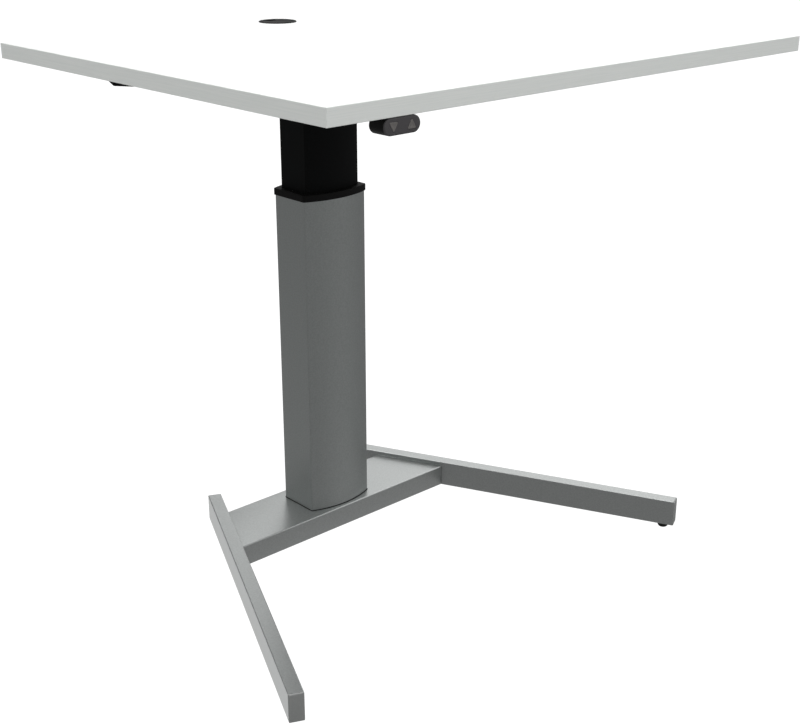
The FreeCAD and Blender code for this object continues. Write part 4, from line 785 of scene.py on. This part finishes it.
def add_handset():
    """Shell, face and keys of the handset in three greys; two seats hold it off the desk."""
    shell_box, face_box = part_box("handset_shell"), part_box("handset_face")
    seam, back, seat_top = shell_box[0].y, shell_box[1].y, shell_box[1].z
    outer = [(SEAM, seam), (SEAM, seam + SEAM * MM), (0, seam + SEAM_END_SHARE * SEAM * MM)]
    outer += [(inset, back - depth * MM) for inset, depth in rounded_edge(HANDSET_BACK_ROUNDING)]
    bevel = HANDSET_WALL + INNER_BEVEL
    inner = [(HANDSET_WALL, seam), (HANDSET_WALL, back - bevel * MM),
             (bevel, back - HANDSET_WALL * MM)]
    shell, holes, seats = bmesh.new(), bmesh.new(), bmesh.new()
    cup(shell, [handset_ring(face_box, *ring) for ring in outer],
        [handset_ring(face_box, *ring) for ring in inner])
    centre, up = middle_of(face_box), Vector((0, 0, DRILL_REACH * MM))
    for screw in solids_of("handset_screws"):
        spot = Vector((*middle_of(screw).xy, centre.z))
        peg(seats, SEAT_RADIUS, Vector((*spot.xy, seat_top - SEAT_HEIGHT * MM)),
            Vector((*spot.xy, seat_top)))
        peg(holes, ACCESS_RADIUS, spot - up, spot)
        peg(holes, PILOT_RADIUS, spot, spot + up)
    peg(holes, HANDSET_GLAND_RADIUS, Vector((centre.x, back - CUTTER_REACH * MM, centre.z)),
        Vector((centre.x, back + CUTTER_REACH * MM, centre.z)), steps=48)
    seated = bmesh.new()
    seated.from_mesh(combined(shell, seats, "UNION"))
    add_piece("handset_shell_moulded", combined(seated, holes), "lift", "black_abs",
              "handset_shell")

    front, joint = face_box[0].y, face_box[1].y
    face, wells = bmesh.new(), bmesh.new()
    rings = [(inset, front + depth * MM) for depth, inset in rounded_edge(FACE_ROUNDING)]
    loft(face, [handset_ring(face_box, *ring) for ring in rings + [(0, joint)]])
    for side in (-1, 1):
        well = centre + Vector((side * KEY_SPAN / 2 * MM, 0, 0))
        loft(wells, [key_ring(well, KEY_WELL_GAP, side > 0, y)
                     for y in (front - CUTTER_REACH * MM, joint + CUTTER_REACH * MM)])
    add_piece("handset_face_moulded", combined(face, wells), "lift", "face_grey", "handset_face")
    for name, up in (("down_button", False), ("up_button", True)):
        add_key(name, up)


def add_key(name, up):
    """A triangular key with a soft rim and a dished middle, on the flange that keeps it in."""
    low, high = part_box(name)
    centre, key = middle_of((low, high)), bmesh.new()
    flange_front = high.y - MM
    steps = [(0, flange_front)] + [(grow, low.y + depth * MM) for grow, depth in KEY_FRONT]
    loft(key, [key_ring(centre, grow, up, y) for grow, y in steps])
    brick(key, Vector((low.x, flange_front, low.z)), high)
    add_piece(f"{name}_moulded", as_mesh(key), name, "key_grey", name)


# ------------------------------------------------------------------ control box

TRAY_WALL, TRAY_CORNER, TRAY_ROUNDING, TRAY_BEVEL = 2.0, 4.0, 2.5, 1
VENTS, VENT_SPACING, VENT_WIDTH, VENT_HEIGHT = 14, 8.0, 2.4, 16.0
TRAY_GLAND_RADIUS, GLAND_FROM_WALL, GLAND_REACH = 5.0, 5, 6
INLET_RIM, INLET_REACH = 2.5, 5


def tray_ring(box, inset, z):
    """The control box's outline at one height."""
    low, high = box
    half_x, half_y = [(high[i] - low[i]) / 2 / MM - inset for i in (0, 1)]
    centre = middle_of(box)
    return [Vector((centre.x + u * MM, centre.y + v * MM, z))
            for u, v in rounded_box(half_x, half_y, TRAY_CORNER - inset / 2)]


def add_control_box():
    """The tray under the desk: soft corners, vent slots along both sides, and its lead holes."""
    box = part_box("control_box_tray")
    low, high = box
    outer = [(0, high.z)] + [(inset, low.z + depth * MM)
                             for inset, depth in rounded_edge(TRAY_ROUNDING)]
    bevel = TRAY_WALL + TRAY_BEVEL
    inner = [(TRAY_WALL, high.z), (TRAY_WALL, low.z + bevel * MM), (bevel, low.z + TRAY_WALL * MM)]
    tray, holes = bmesh.new(), bmesh.new()
    cup(tray, [tray_ring(box, *ring) for ring in outer], [tray_ring(box, *ring) for ring in inner])
    for gland in solids_of("lead_glands"):
        centre, reach = middle_of(gland), Vector((GLAND_REACH * MM, 0, 0))
        if abs(centre.x - low.x) < GLAND_FROM_WALL * MM:
            peg(holes, TRAY_GLAND_RADIUS, centre - reach, centre + reach)
    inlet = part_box("mains_inlet")
    rim = Vector((0, INLET_RIM * MM, INLET_RIM * MM))
    brick(holes, inlet[0] + rim,
          Vector((inlet[1].x + INLET_REACH * MM, *(inlet[1] - rim).yz)))
    shape = bmesh.new()
    shape.from_mesh(combined(tray, holes))
    half_row = (VENTS - 1) / 2 * VENT_SPACING * MM
    centre = middle_of(box)
    mesh = run_tree(SLOTTED, shape, {
        "Slots": VENTS, "Spacing": VENT_SPACING * MM,
        "Slot": (VENT_WIDTH * MM, 3 * TRAY_WALL * MM, VENT_HEIGHT * MM),
        "First": (centre.x - half_row, low.y, centre.z), "Across": (0, high.y - low.y, 0),
        "Finish": FINISHES["black_abs"]})
    add_piece("control_box_vented_tray", mesh, "lift", "black_abs", "control_box_tray")


# ------------------------------------------------------------------ lifting spindle

SPINDLE_LEAD, SPINDLE_CORE, SPINDLE_RIDGE = 6.0, 6.1, 0.9
SHOULDER, COLLAR_RADIUS, COLLAR_HEIGHT, JOURNAL_RADIUS = 508.0, 11, 4, 5
FOOT_CHAMFER, JOURNAL_CHAMFER, BARE_FOOT, BARE_ENDS = 1.5, 0.8, 2, 4


def add_spindle():
    """The lifting screw: a long coarse thread, a collar, and a journal in the coupling."""
    low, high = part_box("spindle")
    base = Vector((*middle_of((low, high)).xy, low.z))
    collar_top, top = SHOULDER + COLLAR_HEIGHT, (high.z - low.z) / MM
    blank = bmesh.new()
    turned(blank, [(0, 0), (SPINDLE_CORE - FOOT_CHAMFER, 0), (SPINDLE_CORE, FOOT_CHAMFER),
                   (SPINDLE_CORE, SHOULDER), (COLLAR_RADIUS, SHOULDER),
                   (COLLAR_RADIUS, collar_top), (JOURNAL_RADIUS, collar_top),
                   (JOURNAL_RADIUS, top - JOURNAL_CHAMFER),
                   (JOURNAL_RADIUS - JOURNAL_CHAMFER, top), (0, top)],
           Vector(), steps=40, whole=False)
    mesh = threaded([base], blank, "ground_steel", SPINDLE_CORE, SPINDLE_RIDGE, SPINDLE_LEAD,
                    BARE_FOOT, SHOULDER - BARE_ENDS, steps=24)
    add_piece("spindle_threaded", mesh, "spindle", "ground_steel", "spindle")


add_wood_screws("desk_screws_cross_recessed", "lift", "black_oxide_steel", "desk_screws",
                *DESK_SCREW)
add_wood_screws("control_box_screws_cross_recessed", "lift", "black_oxide_steel",
                "control_box_screws", *SMALL_SCREW)
add_wood_screws("handset_screws_cross_recessed", "lift", "black_oxide_steel", "handset_screws",
                *SMALL_SCREW)
for corner_name in ("front_left", "front_right", "rear_left", "rear_right"):
    add_end_cap(corner_name)
    add_foot(corner_name)
add_beam()
add_grommet()
add_handset()
add_control_box()
add_spindle()

# ------------------------------------------------------------------ stage, light and camera

# The studio's places and widths are in metres.
FLOOR_WIDTH, FLOOR_GLOW = 80.0, 1.1
CAMERA_PLACE = Vector((-1.4535, -1.5610, 1.2002))
CAMERA_LOOK = Vector((0.6330, 0.6880, -0.3551))
LENS_MM, SENSOR_MM, CLIP_NEAR, CLIP_FAR = 58.73, 36.0, 0.05, 200.0

ROOM_LIGHT = 0.22
# Soft reflectors around the desk: azimuth from +X, elevation, reach in degrees, and added light.
LIGHT_CARDS = ((72, -30, 30, 0.73), (35, 25, 30, 0.91), (-45, 30, 40, 0.55), (-47, -50, 35, 0.2),
               (133, -50, 35, 0.12), (0, 90, 50, 2.86))
# Softboxes that light matt faces without showing in shiny ones: name, place and watts.
SOFTBOXES = (("front_softbox", (0, -4.0, 1.5), 22.6), ("left_softbox", (-4.0, 0, 1.5), 24.8))
SOFTBOX_WIDTH, SOFTBOX_AIM = 2.0, Vector((0, 0, 0.8))


def lay_floor():
    """A white floor and a round white backdrop, lit from within so that they show no shadow."""
    finish, _, surface, _ = new_finish("studio_white", Roughness=0.9, Specular_IOR_Level=0.1)
    surface.inputs["Base Color"].default_value = linear("#202020")
    surface.inputs["Emission Color"].default_value = linear("#FFFFFF")
    surface.inputs["Emission Strength"].default_value = FLOOR_GLOW
    bpy.ops.mesh.primitive_plane_add(size=FLOOR_WIDTH)
    floor = bpy.context.object
    floor.name = "studio_floor"
    bpy.ops.mesh.primitive_uv_sphere_add(radius=FLOOR_WIDTH / 2)
    backdrop = bpy.context.object
    backdrop.name = "studio_backdrop"
    for screen in (floor, backdrop):
        screen.data.materials.append(finish)
        screen.visible_glossy = screen.visible_diffuse = screen.visible_shadow = False


def light_room():
    """A studio as seen from the desk: dim all round, soft cards, and a large light overhead."""
    world = bpy.data.worlds.new("studio")
    bpy.context.scene.world = world
    world.use_nodes = True
    tree = world.node_tree
    tree.nodes.clear()
    # For a world, these coordinates are the direction of the light.
    way = add_node(tree, "ShaderNodeTexCoord").outputs["Generated"]
    light = ROOM_LIGHT
    for azimuth, elevation, reach, share in LIGHT_CARDS:
        side, up = math.radians(azimuth), math.radians(elevation)
        middle = (math.cos(side) * math.cos(up), math.sin(side) * math.cos(up), math.sin(up))
        near = add_node(tree, "ShaderNodeVectorMath", {0: way, 1: middle},
                        operation="DOT_PRODUCT")
        card = add_node(tree, "ShaderNodeMapRange", {
            "Value": near.outputs["Value"], "From Min": math.cos(math.radians(reach)),
            "From Max": 1.0, "To Min": 0.0, "To Max": share}, interpolation_type="SMOOTHSTEP")
        light = add_node(tree, "ShaderNodeMath", {0: light, 1: card.outputs[0]}).outputs[0]
    sky = add_node(tree, "ShaderNodeBackground", {"Color": linear("#FFFFFF"), "Strength": light})
    add_node(tree, "ShaderNodeOutputWorld", {"Surface": sky.outputs[0]})


def hang_softboxes():
    """Two square softboxes above desk height, one in front and one on the left."""
    for name, place, watts in SOFTBOXES:
        box = bpy.data.lights.new(name, "AREA")
        box.size, box.energy = SOFTBOX_WIDTH, watts
        lamp = bpy.data.objects.new(name, box)
        bpy.context.scene.collection.objects.link(lamp)
        lamp.location = place
        aim = SOFTBOX_AIM - lamp.location
        lamp.rotation_euler = aim.to_track_quat("-Z", "Y").to_euler()
        lamp.visible_glossy = False


def place_camera():
    """The camera stands off the desk's near corner and looks down by 21 degrees."""
    lens = bpy.data.cameras.new("camera")
    lens.lens, lens.sensor_width = LENS_MM, SENSOR_MM
    lens.clip_start, lens.clip_end = CLIP_NEAR, CLIP_FAR
    camera = bpy.data.objects.new("camera", lens)
    bpy.context.scene.collection.objects.link(camera)
    camera.location = CAMERA_PLACE
    camera.rotation_euler = CAMERA_LOOK.to_track_quat("-Z", "Y").to_euler()
    bpy.context.scene.camera = camera


lay_floor()
light_room()
hang_softboxes()
place_camera()
bpy.context.scene.view_settings.view_transform = "Standard"
